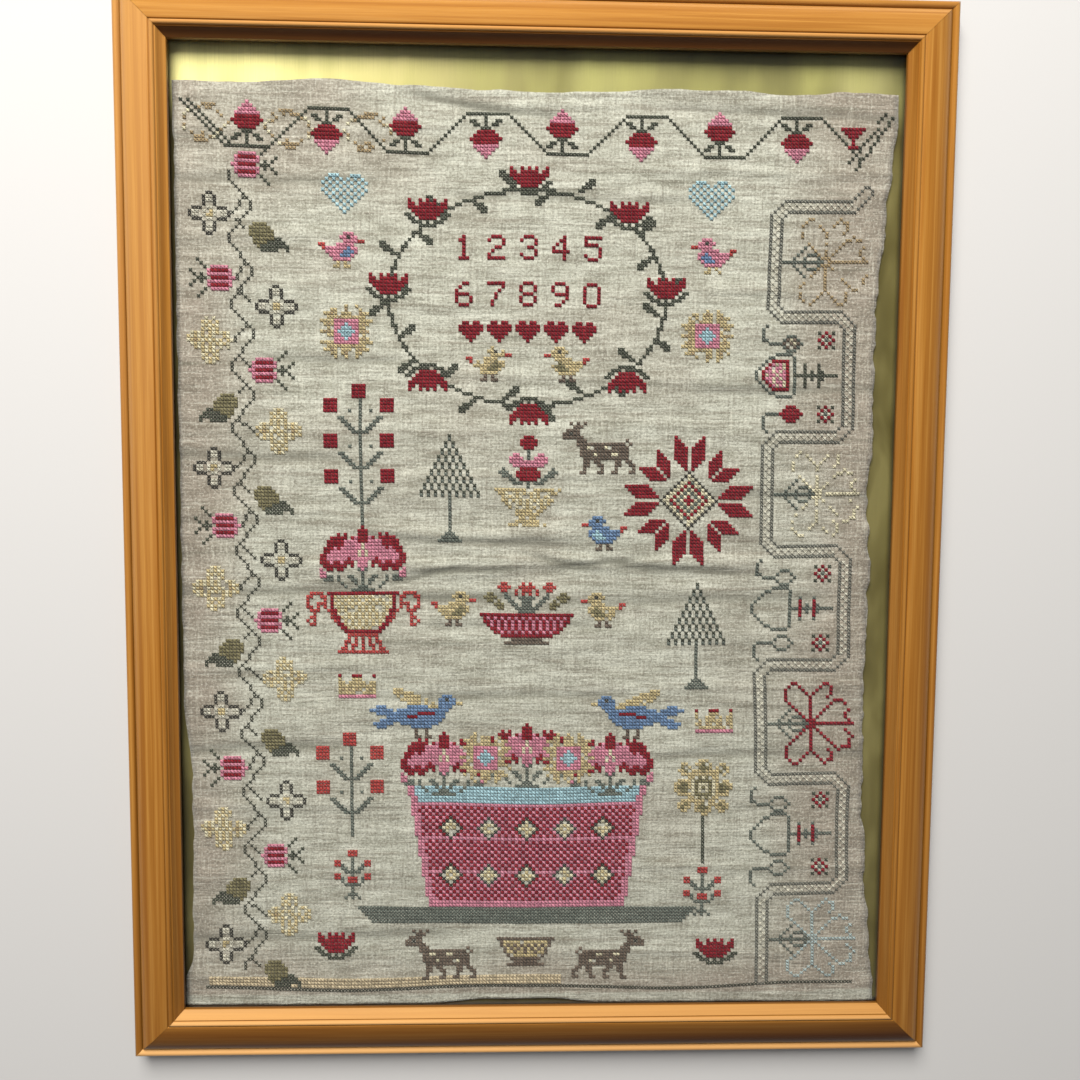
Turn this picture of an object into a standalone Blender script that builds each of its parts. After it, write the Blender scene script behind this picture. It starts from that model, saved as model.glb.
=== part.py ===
"""A framed cross stitch sampler, lying on its back.

Units are metres and +Z is up, out of the picture's face. +X runs to the right of
the picture and +Y to its top. The origin is under the middle of the frame, on the
surface that the rails' backs rest on.
"""
import bmesh
import bpy
from math import cos, exp, hypot, pi, sin, sqrt, tanh
from mathutils import Matrix

MM = 0.001

# Driving dimensions
SIGHT_WIDTH = 395.0 * MM
SIGHT_HEIGHT = 530.0 * MM
RAIL_WIDTH = 29.0 * MM
LIP_REACH = 6.0 * MM
LIP_UNDERSIDE = 12.7 * MM
GAP = 0.3 * MM

# Sizes of the pieces in the rebate
BOARD_THICKNESS = 3.6 * MM
BOARD_BACK = 1.2 * MM
SILK_THICKNESS = 1.0 * MM
SILK_WAVE = 0.25 * MM
SILK_CLEARANCE = 2.0 * MM
CLOTH_THICKNESS = 1.2 * MM
CLOTH_FOLD_ROOM = 2.1 * MM
GLASS_THICKNESS = 2.0 * MM
GLASS_CLEARANCE = 0.5 * MM

# Heights worked out from the sizes above
SILK_BACK = BOARD_BACK + BOARD_THICKNESS + GAP
SILK_MIDDLE = SILK_BACK + SILK_WAVE + SILK_THICKNESS / 2
SILK_TOP = SILK_MIDDLE + SILK_WAVE + SILK_THICKNESS / 2
CLOTH_BACK = SILK_TOP + GAP
CLOTH_MIDDLE = CLOTH_BACK + CLOTH_THICKNESS / 2
GLASS_TOP = LIP_UNDERSIDE - GAP
OUTER_WIDTH = SIGHT_WIDTH + 2 * RAIL_WIDTH
OUTER_HEIGHT = SIGHT_HEIGHT + 2 * RAIL_WIDTH
REBATE_WIDTH = SIGHT_WIDTH + 2 * LIP_REACH
REBATE_HEIGHT = SIGHT_HEIGHT + 2 * LIP_REACH

# Rail moulding, each size measured in from the outer edge or up from the back
OUTER_BEAD_RADIUS = 2.0 * MM
OUTER_BEAD_TOP = 13.6 * MM
SLOPE_FOOT_IN = 4.4 * MM
SLOPE_FOOT_UP = 11.6 * MM
SLOPE_HEAD_IN = 20.6 * MM
SLOPE_HEAD_UP = 19.2 * MM
GROOVE_IN = 21.2 * MM
GROOVE_UP = 18.2 * MM
INNER_BEAD_IN = 22.9 * MM
INNER_BEAD_RADIUS = 1.2 * MM
INNER_BEAD_UP = 19.0 * MM
QUIRK_IN = 24.4 * MM
QUIRK_UP = 18.4 * MM
COVE_HEAD_UP = 18.9 * MM
COVE_DIP = 0.5 * MM
SIGHT_EDGE_UP = 15.2 * MM
ARRIS = 0.5 * MM
BEAD_STEPS = 6
SLOPE_STEPS = 8
COVE_STEPS = 4

# Cloth outline. Each edge is a few stations joined by a smooth curve, and a
# station gives the place along the edge and how far out the edge lies there.
# along: distance along the edge; out: the edge's place across it
CLOTH_TOP_EDGE = (
    # along, out
    (-197.0, 246.5),
    (-157.0, 246.0),
    (-116.0, 248.5),
    (-74.0, 246.0),
    (-24.0, 244.5),
    (0.0, 243.5),
    (31.0, 244.5),
    (70.0, 246.5),
    (111.0, 246.5),
    (135.0, 244.5),
    (178.0, 247.0),
    (196.0, 246.0),
)
CLOTH_RIGHT_EDGE = (
    # along, out
    (-267.0, 197.5),
    (-219.0, 193.5),
    (-178.0, 190.0),
    (-136.0, 187.5),
    (-90.0, 187.0),
    (-9.0, 187.5),
    (47.0, 185.5),
    (80.0, 187.5),
    (141.0, 187.0),
    (190.0, 190.0),
    (227.0, 193.5),
    (246.0, 196.0),
)
CLOTH_LEFT_EDGE = (
    # along, out
    (-267.0, -200.0),
    (-222.0, -198.0),
    (-212.0, -194.0),
    (-175.0, -193.0),
    (-123.0, -193.0),
    (-90.0, -196.5),
    (22.0, -197.0),
    (130.0, -197.0),
    (246.0, -197.0),
)
CLOTH_BOTTOM_EDGE = (
    # along, out
    (-200.0, -266.5),
    (-60.0, -267.0),
    (-25.0, -264.5),
    (10.0, -264.5),
    (40.0, -267.0),
    (197.0, -267.5),
)

# Main folds of the cloth, in millimetres. A fold runs from one end to the other
# and fades past both. A positive rise is a ridge and a negative one a trough.
CLOTH_FOLDS = (
    # x from, y from, x to, y to, half width, rise
    (-68.0, 13.0, 2.0, 13.5, 6.0, -1.5),
    (-80.0, 4.0, 10.0, 4.0, 5.0, 0.7),
    (-124.0, -8.0, -60.0, -7.0, 6.0, -1.6),
    (-124.0, -15.0, -20.0, -13.5, 5.0, 1.3),
    (-68.0, -22.0, -20.0, -22.5, 4.5, -1.2),
    (-68.0, -35.0, -18.0, -35.0, 4.5, -0.9),
    (-4.0, -5.0, 148.0, -5.5, 5.0, -1.4),
    (0.0, -12.0, 120.0, -11.0, 4.5, 1.2),
    (11.0, -19.0, 85.0, -18.0, 5.0, -1.3),
    (-66.0, -108.0, -40.0, -108.0, 5.0, -0.8),
    (-60.0, 239.0, -20.0, 241.0, 5.5, -1.0),
    (40.0, 240.0, 88.0, 239.0, 5.5, -0.9),
    (-180.0, 62.0, 120.0, 64.0, 6.0, 0.6),
    (-150.0, -56.0, 160.0, -54.0, 6.0, 0.6),
    (-160.0, 120.0, -40.0, 118.0, 8.0, -0.6),
    (20.0, 150.0, 180.0, 154.0, 8.0, -0.6),
    (-170.0, -190.0, -80.0, -186.0, 8.0, 0.6),
    (60.0, -160.0, 170.0, -158.0, 7.0, -0.6),
)
CLOTH_COLUMNS = 18
CLOTH_ROWS = 84
FOLD_REST_LEVEL = 0.42
FOLD_FADE = 14.0 * MM

# Slack of the satin backing, as low waves across its width
SILK_WAVES = (
    # wave length, lean, share of the slack
    (62.0, 0.10, 0.6),
    (37.0, -0.16, 0.4),
)
SILK_COLUMNS = 28
SILK_ROWS = 8

# Colours, as linear red, green and blue
PINE_COLOUR = (0.52, 0.24, 0.06, 1.0)
LINEN_COLOUR = (0.50, 0.44, 0.34, 1.0)
SATIN_COLOUR = (0.42, 0.38, 0.13, 1.0)
GLASS_COLOUR = (0.95, 0.97, 0.96, 1.0)
BOARD_COLOUR = (0.30, 0.20, 0.11, 1.0)


def clear_scene():
    """Remove the objects that are in the scene."""
    for thing in list(bpy.data.objects):
        bpy.data.objects.remove(thing, do_unlink=True)


def principled(name, colour, roughness, transmission=0.0):
    """Return a plain material with one colour and roughness."""
    material = bpy.data.materials.new(name)
    material.use_nodes = True
    shader = material.node_tree.nodes["Principled BSDF"]
    shader.inputs["Base Color"].default_value = colour
    shader.inputs["Roughness"].default_value = roughness
    shader.inputs["Metallic"].default_value = 0.0
    shader.inputs["Transmission Weight"].default_value = transmission
    return material


def add_object(name, mesh, material, collection):
    """Put a mesh into the collection as a named object."""
    thing = bpy.data.objects.new(name, mesh)
    thing.data.materials.append(material)
    collection.objects.link(thing)
    return thing


def arc(centre, radius, start, end, steps):
    """Return points on an arc, as pairs of distance in and height."""
    points = []
    for step in range(steps + 1):
        angle = start + (end - start) * step / steps
        points.append((centre[0] + radius * cos(angle), centre[1] + radius * sin(angle)))
    return points


def rail_profile():
    """Return the moulding's outline, from the back of its outer side and round."""
    points = [(0.0, 0.0)]
    bead_centre = (OUTER_BEAD_RADIUS, OUTER_BEAD_TOP - OUTER_BEAD_RADIUS)
    points += arc(bead_centre, OUTER_BEAD_RADIUS, pi, 0.1 * pi, BEAD_STEPS)
    for step in range(SLOPE_STEPS + 1):
        turn = 0.5 * pi * step / SLOPE_STEPS
        inward = SLOPE_FOOT_IN + (SLOPE_HEAD_IN - SLOPE_FOOT_IN) * (1.0 - cos(turn))
        up = SLOPE_FOOT_UP + (SLOPE_HEAD_UP - SLOPE_FOOT_UP) * sin(turn)
        points.append((inward, up))
    points.append((GROOVE_IN, GROOVE_UP))
    inner_centre = (INNER_BEAD_IN, INNER_BEAD_UP)
    points += arc(inner_centre, INNER_BEAD_RADIUS, 1.05 * pi, -0.05 * pi, BEAD_STEPS)
    points.append((QUIRK_IN, QUIRK_UP))
    cove_start = QUIRK_IN + ARRIS
    for step in range(COVE_STEPS + 1):
        share = step / COVE_STEPS
        inward = cove_start + (RAIL_WIDTH - ARRIS - cove_start) * share
        straight = COVE_HEAD_UP + (SIGHT_EDGE_UP - COVE_HEAD_UP) * share
        points.append((inward, straight - COVE_DIP * sin(pi * share)))
    points.append((RAIL_WIDTH, SIGHT_EDGE_UP - ARRIS))
    points.append((RAIL_WIDTH, LIP_UNDERSIDE))
    points.append((RAIL_WIDTH - LIP_REACH, LIP_UNDERSIDE))
    points.append((RAIL_WIDTH - LIP_REACH, 0.0))
    return points


def profile_bar(length):
    """Return a straight mesh bar of the moulding, lying along X with square ends.

    Its outer side faces -Y at y = 0, and its back lies at z = 0.
    """
    curve = bpy.data.curves.new("moulding", "CURVE")
    curve.dimensions = "2D"
    curve.fill_mode = "BOTH"
    curve.extrude = length / 2
    outline = rail_profile()
    spline = curve.splines.new("POLY")
    spline.points.add(len(outline) - 1)
    for point, (inward, up) in zip(spline.points, outline):
        point.co = (inward, up, 0.0, 1.0)
    spline.use_cyclic_u = True
    guide = bpy.data.objects.new("moulding", curve)
    bpy.context.scene.collection.objects.link(guide)
    depsgraph = bpy.context.evaluated_depsgraph_get()
    mesh = bpy.data.meshes.new_from_object(guide.evaluated_get(depsgraph))
    bpy.data.objects.remove(guide, do_unlink=True)
    upright = Matrix(((0, 0, 1, 0), (1, 0, 0, 0), (0, 1, 0, 0), (0, 0, 0, 1)))
    mesh.transform(upright)
    return mesh


def make_rail(name, length, distance, turn, material, collection):
    """Make one mitred rail, its outer side at a distance from the middle.

    Each end point slides along the bar by its own distance in from the outer
    side, which cuts both ends to 45 degrees. Half the mitre's gap comes off too.
    """
    mesh = profile_bar(length)
    work = bmesh.new()
    work.from_mesh(mesh)
    bmesh.ops.remove_doubles(work, verts=work.verts, dist=0.01 * MM)
    half_gap = GAP / 2 * sqrt(2.0)
    for vertex in work.verts:
        end = 1.0 if vertex.co.x > 0.0 else -1.0
        vertex.co.x = end * (length / 2 - vertex.co.y - half_gap)
    bmesh.ops.recalc_face_normals(work, faces=work.faces)
    work.to_mesh(mesh)
    work.free()
    mesh.transform(Matrix.Translation((0.0, -distance, 0.0)))
    mesh.transform(Matrix.Rotation(turn, 4, "Z"))
    mesh.update()
    return add_object(name, mesh, material, collection)


def make_frame(collection):
    """Make the four rails."""
    pine = principled("honey_pine", PINE_COLOUR, 0.32)
    rails = (
        # name, length, distance of the outer side from the middle, turn
        ("frame_rail_bottom", OUTER_WIDTH, OUTER_HEIGHT / 2, 0.0),
        ("frame_rail_right", OUTER_HEIGHT, OUTER_WIDTH / 2, 0.5 * pi),
        ("frame_rail_top", OUTER_WIDTH, OUTER_HEIGHT / 2, pi),
        ("frame_rail_left", OUTER_HEIGHT, OUTER_WIDTH / 2, 1.5 * pi),
    )
    for name, length, distance, turn in rails:
        make_rail(name, length, distance, turn, pine, collection)


def flat_panel(name, width, height, thickness, back, material, collection):
    """Make a flat rectangular panel with its back at a given height."""
    work = bmesh.new()
    bmesh.ops.create_cube(work, size=1.0)
    bmesh.ops.scale(work, vec=(width, height, thickness), verts=work.verts)
    bmesh.ops.translate(work, vec=(0.0, 0.0, back + thickness / 2), verts=work.verts)
    mesh = bpy.data.meshes.new(name)
    work.to_mesh(mesh)
    work.free()
    return add_object(name, mesh, material, collection)


def smooth_station(stations, along):
    """Return an edge's place across it, in metres, eased between its stations."""
    first = stations[0]
    if along <= first[0] * MM:
        return first[1] * MM
    for start, end in zip(stations, stations[1:]):
        if along <= end[0] * MM:
            share = (along / MM - start[0]) / (end[0] - start[0])
            eased = share * share * (3.0 - 2.0 * share)
            return (start[1] + (end[1] - start[1]) * eased) * MM
    return stations[-1][1] * MM


def cloth_point(u, v):
    """Return the plan position for shares u across and v up the cloth."""
    x = (u - 0.5) * SIGHT_WIDTH
    y = (v - 0.5) * SIGHT_HEIGHT
    left = smooth_station(CLOTH_LEFT_EDGE, y)
    right = smooth_station(CLOTH_RIGHT_EDGE, y)
    bottom = smooth_station(CLOTH_BOTTOM_EDGE, x)
    top = smooth_station(CLOTH_TOP_EDGE, x)
    return left + (right - left) * u, bottom + (top - bottom) * v


def fold_rise(x, y):
    """Return the sum of the folds at a point of the cloth, in metres."""
    rise = 0.0
    for x_from, y_from, x_to, y_to, half_width, height in CLOTH_FOLDS:
        run_x = (x_to - x_from) * MM
        run_y = (y_to - y_from) * MM
        run = hypot(run_x, run_y)
        off_x = x - x_from * MM
        off_y = y - y_from * MM
        along = (off_x * run_x + off_y * run_y) / run
        across = (off_y * run_x - off_x * run_y) / run
        past_end = max(0.0, -along, along - run)
        fade = exp(-((past_end / FOLD_FADE) ** 2))
        rise += height * MM * fade * exp(-((across / (half_width * MM)) ** 2))
    return rise


def cloth_height(x, y):
    """Return the height of the cloth's middle, kept within the room for folds."""
    lowest = -FOLD_REST_LEVEL * CLOTH_FOLD_ROOM
    highest = (1.0 - FOLD_REST_LEVEL) * CLOTH_FOLD_ROOM
    rise = fold_rise(x, y)
    limit = highest if rise > 0.0 else -lowest
    return CLOTH_MIDDLE - lowest + limit * tanh(rise / limit)


def sheet_surface(name, columns, rows, place):
    """Return an open grid mesh whose points a function places."""
    work = bmesh.new()
    bmesh.ops.create_grid(work, x_segments=columns, y_segments=rows, size=0.5)
    for vertex in work.verts:
        vertex.co = place(vertex.co.x + 0.5, vertex.co.y + 0.5)
    mesh = bpy.data.meshes.new(name)
    work.to_mesh(mesh)
    work.free()
    mesh.shade_smooth()
    return mesh


def thicken(thing, thickness):
    """Give an open sheet its thickness, half to each side."""
    solid = thing.modifiers.new("thickness", "SOLIDIFY")
    solid.thickness = thickness
    solid.offset = 0.0
    solid.use_rim = True


def make_cloth(collection):
    """Make the embroidered linen, with its uneven outline and main folds."""
    def place(u, v):
        x, y = cloth_point(u, v)
        return (x, y, cloth_height(x, y))

    linen = principled("aged_linen", LINEN_COLOUR, 0.9)
    mesh = sheet_surface("sampler_cloth", CLOTH_COLUMNS, CLOTH_ROWS, place)
    cloth = add_object("sampler_cloth", mesh, linen, collection)
    thicken(cloth, CLOTH_THICKNESS)


def make_silk(collection):
    """Make the satin that the board is covered with."""
    width = REBATE_WIDTH - 2 * SILK_CLEARANCE
    height = REBATE_HEIGHT - 2 * SILK_CLEARANCE

    def place(u, v):
        x = (u - 0.5) * width
        y = (v - 0.5) * height
        wave = 0.0
        for length, lean, share in SILK_WAVES:
            wave += share * sin(2.0 * pi * (x + lean * y) / (length * MM))
        return (x, y, SILK_MIDDLE + SILK_WAVE * wave)

    satin = principled("olive_satin", SATIN_COLOUR, 0.4)
    mesh = sheet_surface("silk_backing", SILK_COLUMNS, SILK_ROWS, place)
    silk = add_object("silk_backing", mesh, satin, collection)
    thicken(silk, SILK_THICKNESS)


def make_panels(collection):
    """Make the board behind the satin and the pane of glass in front."""
    board = principled("plain_board", BOARD_COLOUR, 0.8)
    board_width = REBATE_WIDTH - 2 * GAP
    board_height = REBATE_HEIGHT - 2 * GAP
    flat_panel("backboard", board_width, board_height, BOARD_THICKNESS, BOARD_BACK, board, collection)
    glass = principled("clear_glass", GLASS_COLOUR, 0.02, transmission=1.0)
    glass_width = REBATE_WIDTH - 2 * GLASS_CLEARANCE
    glass_height = REBATE_HEIGHT - 2 * GLASS_CLEARANCE
    glass_back = GLASS_TOP - GLASS_THICKNESS
    flat_panel("glass_pane", glass_width, glass_height, GLASS_THICKNESS, glass_back, glass, collection)


def main():
    """Build the whole object in a collection of its own."""
    clear_scene()
    collection = bpy.data.collections.new("framed_cross_stitch_sampler")
    bpy.context.scene.collection.children.link(collection)
    make_frame(collection)
    make_panels(collection)
    make_silk(collection)
    make_cloth(collection)


main()
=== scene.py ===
"""The looks of a framed cross stitch sampler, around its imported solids.

Units are metres and +Z is up, out of the picture's face. The cloth and its charts
are laid out in millimetres, and a chart counts stitches from the cloth's top left.
"""
from math import cos, floor, pi, radians, sin, sqrt

import bmesh
import bpy
import numpy as np
from mathutils import Matrix, Vector


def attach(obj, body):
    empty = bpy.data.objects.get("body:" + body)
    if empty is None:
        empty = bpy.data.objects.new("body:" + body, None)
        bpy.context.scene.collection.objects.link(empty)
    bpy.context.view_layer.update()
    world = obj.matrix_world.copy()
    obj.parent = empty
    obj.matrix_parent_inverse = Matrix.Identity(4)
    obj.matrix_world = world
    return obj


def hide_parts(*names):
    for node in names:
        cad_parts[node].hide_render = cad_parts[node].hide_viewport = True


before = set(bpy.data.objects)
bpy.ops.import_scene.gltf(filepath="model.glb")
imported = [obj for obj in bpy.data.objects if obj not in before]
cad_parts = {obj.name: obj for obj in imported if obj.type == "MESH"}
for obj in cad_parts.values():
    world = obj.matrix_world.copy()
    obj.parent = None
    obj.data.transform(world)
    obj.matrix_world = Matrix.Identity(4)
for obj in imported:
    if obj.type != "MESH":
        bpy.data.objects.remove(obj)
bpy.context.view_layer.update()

MM = 0.001

# Frame sizes, as the solids have them
SIGHT_WIDTH = 395.0
SIGHT_HEIGHT = 530.0
RAIL_WIDTH = 29.0
LIP_REACH = 6.0
LIP_UNDERSIDE = 12.7
MITRE_GAP = 0.12
OUTER_WIDTH = SIGHT_WIDTH + 2 * RAIL_WIDTH
OUTER_HEIGHT = SIGHT_HEIGHT + 2 * RAIL_WIDTH

# Heights above the rails' backs, and thicknesses, of the satin and the cloth
SATIN_MIDDLE = 5.9
SATIN_THICKNESS = 0.3
CLOTH_LOWEST = 7.05
CLOTH_THICKNESS = 0.5
CLOTH_FOLD_ROOM = 2.2

# Stitches
CELL = 1.95
CHART_LEFT = -195.0
CHART_TOP = 246.0

# Camera, from the photo: focal length and image side are in pixels
CAMERA_PLACE = (-13.2, 33.9, 509.5)
CAMERA_TURN = (-3.77, -1.64, 0.42)
FOCAL_PIXELS = 900.0
IMAGE_PIXELS = 1080.0
SENSOR = 36.0


# Shader node helpers

def new_material(name, roughness, specular=0.5):
    """Return a material, its node tree and its Principled shader."""
    material = bpy.data.materials.new(name)
    material.use_nodes = True
    tree = material.node_tree
    shader = tree.nodes["Principled BSDF"]
    shader.inputs["Roughness"].default_value = roughness
    shader.inputs["Specular IOR Level"].default_value = specular
    return material, tree, shader


def stored(tree, name, output="Fac"):
    """Return a value that a piece's mesh stores for each of its points."""
    source = tree.nodes.new("ShaderNodeAttribute")
    source.attribute_name = name
    return source.outputs[output]


def noise(tree, place, stretch, shift=(0.0, 0.0, 0.0), detail=3.0, roughness=0.55, distortion=0.0):
    """Return a noise value for a place, stretched and shifted."""
    mapping = tree.nodes.new("ShaderNodeMapping")
    mapping.inputs["Scale"].default_value = stretch
    mapping.inputs["Location"].default_value = shift
    tree.links.new(place, mapping.inputs["Vector"])
    made = tree.nodes.new("ShaderNodeTexNoise")
    made.inputs["Scale"].default_value = 1.0
    made.inputs["Detail"].default_value = detail
    made.inputs["Roughness"].default_value = roughness
    made.inputs["Distortion"].default_value = distortion
    tree.links.new(mapping.outputs["Vector"], made.inputs["Vector"])
    return made.outputs["Fac"]


def ramp(tree, value, stops):
    """Return a colour for a value, from (position, colour) stops."""
    made = tree.nodes.new("ShaderNodeValToRGB")
    line = made.color_ramp
    while len(line.elements) < len(stops):
        line.elements.new(1.0)
    for element, (position, colour) in zip(line.elements, stops):
        element.position = position
        element.color = (*colour, 1.0)
    tree.links.new(value, made.inputs["Fac"])
    return made.outputs["Color"]


def spread(tree, value, low, high, most=1.0):
    """Return a share that grows from nothing to the most as a value goes from low to high."""
    made = tree.nodes.new("ShaderNodeMapRange")
    made.inputs["From Min"].default_value = low
    made.inputs["From Max"].default_value = high
    made.inputs["To Max"].default_value = most
    tree.links.new(value, made.inputs["Value"])
    return made.outputs["Result"]


def total(tree, first, second):
    """Return the sum of two values."""
    made = tree.nodes.new("ShaderNodeMath")
    tree.links.new(first, made.inputs[0])
    tree.links.new(second, made.inputs[1])
    return made.outputs["Value"]


def mix(tree, share, first, second):
    """Return two colours mixed, each a tuple or a socket."""
    made = tree.nodes.new("ShaderNodeMix")
    made.data_type = "RGBA"
    tree.links.new(share, made.inputs[0])
    for socket, value in ((made.inputs[6], first), (made.inputs[7], second)):
        if isinstance(value, tuple):
            socket.default_value = (*value, 1.0)
        else:
            tree.links.new(value, socket)
    return made.outputs[2]


def overlaid(tree, tone, layers):
    """Return a colour under layers of (value, low, high, most, colour), each as spread() gives it."""
    for value, low, high, most, colour in layers:
        tone = mix(tree, spread(tree, value, low, high, most), tone, colour)
    return tone


def dress(tree, shader, tone, height, distance, strength):
    """Give a shader its colour, and relief from a height."""
    tree.links.new(tone, shader.inputs["Base Color"])
    made = tree.nodes.new("ShaderNodeBump")
    made.inputs["Strength"].default_value = strength
    made.inputs["Distance"].default_value = distance
    tree.links.new(height, made.inputs["Height"])
    tree.links.new(made.outputs["Normal"], shader.inputs["Normal"])


# Mesh helpers

def mesh_from_arrays(name, points, faces):
    """Return a mesh from points in millimetres and faces of one size each."""
    mesh = bpy.data.meshes.new(name)
    mesh.vertices.add(len(points))
    mesh.vertices.foreach_set("co", (np.asarray(points, float) * MM).ravel())
    corners = np.concatenate([group.ravel() for group in faces])
    sizes = np.concatenate([np.full(len(group), group.shape[1]) for group in faces])
    starts = np.concatenate([[0], np.cumsum(sizes)[:-1]])
    mesh.loops.add(len(corners))
    mesh.loops.foreach_set("vertex_index", corners.astype(np.int32))
    mesh.polygons.add(len(sizes))
    mesh.polygons.foreach_set("loop_start", starts.astype(np.int32))
    mesh.update(calc_edges=True)
    mesh.shade_smooth()
    return mesh


def store_places(mesh, name, places):
    """Store a vector for each point of a mesh, for its material to read."""
    layer = mesh.attributes.new(name, "FLOAT_VECTOR", "POINT")
    layer.data.foreach_set("vector", np.asarray(places, float).ravel())


def store_values(mesh, name, values):
    """Store a number for each point of a mesh, for its material to read."""
    layer = mesh.attributes.new(name, "FLOAT", "POINT")
    layer.data.foreach_set("value", np.asarray(values, float))


def add_piece(name, mesh, material):
    """Add a mesh to the scene as a piece of the object."""
    piece = bpy.data.objects.new(name, mesh)
    bpy.context.scene.collection.objects.link(piece)
    mesh.materials.append(material)
    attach(piece, "root")
    return piece


def grid_faces(columns, rows):
    """Return the quads of a grid of points, counted row by row."""
    corner = np.arange(columns * rows).reshape(rows, columns)
    quads = np.stack([corner[:-1, :-1], corner[:-1, 1:], corner[1:, 1:], corner[1:, :-1]], axis=-1)
    return quads.reshape(-1, 4)


def sheet_piece(name, mesh_name, x, y, z, columns, rows, thickness, material):
    """Return a sheet's piece and mesh, from its top face as rows of points."""
    mesh = mesh_from_arrays(mesh_name, np.stack([x, y, z], axis=-1), [grid_faces(columns, rows)])
    store_places(mesh, "flat", np.stack([x, y, x * 0.0], axis=-1))
    piece = add_piece(name, mesh, material)
    solid = piece.modifiers.new("thickness", "SOLIDIFY")
    solid.thickness = thickness * MM
    solid.offset = -1.0
    return piece, mesh


def rising(value, start, run):
    """Return a share that is nothing at the start and whole a run past it."""
    return np.clip((value - start) / run, 0.0, 1.0)


def smooth_noise(x, y, size_x, size_y, seed):
    """Return soft random hills between -1 and 1, with their own size each way."""
    side = 64
    heights = np.random.RandomState(seed).uniform(-1.0, 1.0, (side, side))
    across = np.asarray(x, float) / size_x + side / 2
    along = np.asarray(y, float) / size_y + side / 2
    column = np.floor(across).astype(int)
    row = np.floor(along).astype(int)
    u = across - column
    v = along - row
    u = u * u * (3.0 - 2.0 * u)
    v = v * v * (3.0 - 2.0 * v)

    def height(step_row, step_column):
        return heights[(row + step_row) % side, (column + step_column) % side]

    low = height(0, 0) * (1.0 - u) + height(0, 1) * u
    high = height(1, 0) * (1.0 - u) + height(1, 1) * u
    return low * (1.0 - v) + high * v


# Frame rails

OUTER_BEAD_RADIUS = 2.0
OUTER_BEAD_TOP = 13.6
SLOPE_FOOT = (4.4, 11.6)
SLOPE_HEAD = (20.6, 19.2)
GROOVE = (21.2, 18.2)
INNER_BEAD = (22.9, 19.0)
INNER_BEAD_RADIUS = 1.2
QUIRK = (24.4, 18.4)
COVE_HEAD_UP = 18.9
COVE_DIP = 0.5
SIGHT_EDGE_UP = 15.2
ARRIS = 0.5
GROOVE_FILL = 0.25
SIDE_MIDDLE = 6.0
FOOT_EASE = (0.15, 0.05)
HEAD_EASE = (0.25, 0.15)
SIGHT_EASE = 0.15
RAIL_STATIONS = 25
ROUND_STEPS = 12
SLOPE_POINTS = 19
COVE_POINTS = 11

# How much darker every rail is made at these places, the same on all four
FOOT_DARKNESS = 0.6
SIGHT_DARKNESS = 0.3
LIP_DARKNESS = 0.8
REBATE_DARKNESS = 1.0
BACK_DARKNESS = 0.3


def arc(centre, radius, start, end, steps):
    """Return points on an arc, as pairs of distance in and height."""
    turns = np.linspace(start, end, steps + 1)
    return [(centre[0] + radius * cos(t), centre[1] + radius * sin(t)) for t in turns]


def rail_profile(cove_painted_shade, bead_painted_shade, groove_painted_shade, slope_painted_shade, outer_painted_shade):
    """Return the moulding's outline, with how much darker each point is made: painted shade from the rail's
    own values, and a painted highlight below zero.
    """
    rows = [(0.0, 0.0, 0.0), (0.0, SIDE_MIDDLE, 0.0)]
    outer = (OUTER_BEAD_RADIUS, OUTER_BEAD_TOP - OUTER_BEAD_RADIUS)
    bead = arc(outer, OUTER_BEAD_RADIUS, pi, 0.12 * pi, ROUND_STEPS)
    rows += [(inward, up, outer_painted_shade) for inward, up in bead]
    rows.append((SLOPE_FOOT[0] - FOOT_EASE[0], SLOPE_FOOT[1] - FOOT_EASE[1], FOOT_DARKNESS))
    for turn in np.linspace(0.0, 0.5 * pi, SLOPE_POINTS):
        inward = SLOPE_FOOT[0] + (SLOPE_HEAD[0] - SLOPE_FOOT[0]) * (1.0 - cos(turn))
        up = SLOPE_FOOT[1] + (SLOPE_HEAD[1] - SLOPE_FOOT[1]) * sin(turn)
        rows.append((inward, up, max(slope_painted_shade * (1.0 + cos(turn)), FOOT_DARKNESS - 2.5 * turn)))
    rows.append((SLOPE_HEAD[0] + HEAD_EASE[0], SLOPE_HEAD[1] - HEAD_EASE[1], 0.0))
    rows.append((GROOVE[0], GROOVE[1] + GROOVE_FILL, groove_painted_shade))
    bead = arc(INNER_BEAD, INNER_BEAD_RADIUS, 1.08 * pi, -0.08 * pi, ROUND_STEPS)
    rows += [(inward, up, bead_painted_shade) for inward, up in bead[1:-1]]
    rows.append((QUIRK[0], QUIRK[1] + GROOVE_FILL, groove_painted_shade))
    cove_start = QUIRK[0] + ARRIS
    for share in np.linspace(0.0, 1.0, COVE_POINTS):
        inward = cove_start + (RAIL_WIDTH - ARRIS - cove_start) * share
        up = COVE_HEAD_UP + (SIGHT_EDGE_UP - COVE_HEAD_UP) * share - COVE_DIP * sin(pi * share)
        rows.append((inward, up, cove_painted_shade))
    rows.append((RAIL_WIDTH - SIGHT_EASE, SIGHT_EDGE_UP - SIGHT_EASE, cove_painted_shade))
    rows.append((RAIL_WIDTH, SIGHT_EDGE_UP - ARRIS, SIGHT_DARKNESS))
    rows.append((RAIL_WIDTH, LIP_UNDERSIDE, LIP_DARKNESS))
    rows.append((RAIL_WIDTH - LIP_REACH, LIP_UNDERSIDE, REBATE_DARKNESS))
    rows.append((RAIL_WIDTH - LIP_REACH, 0.0, BACK_DARKNESS))
    return np.array(rows)


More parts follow.
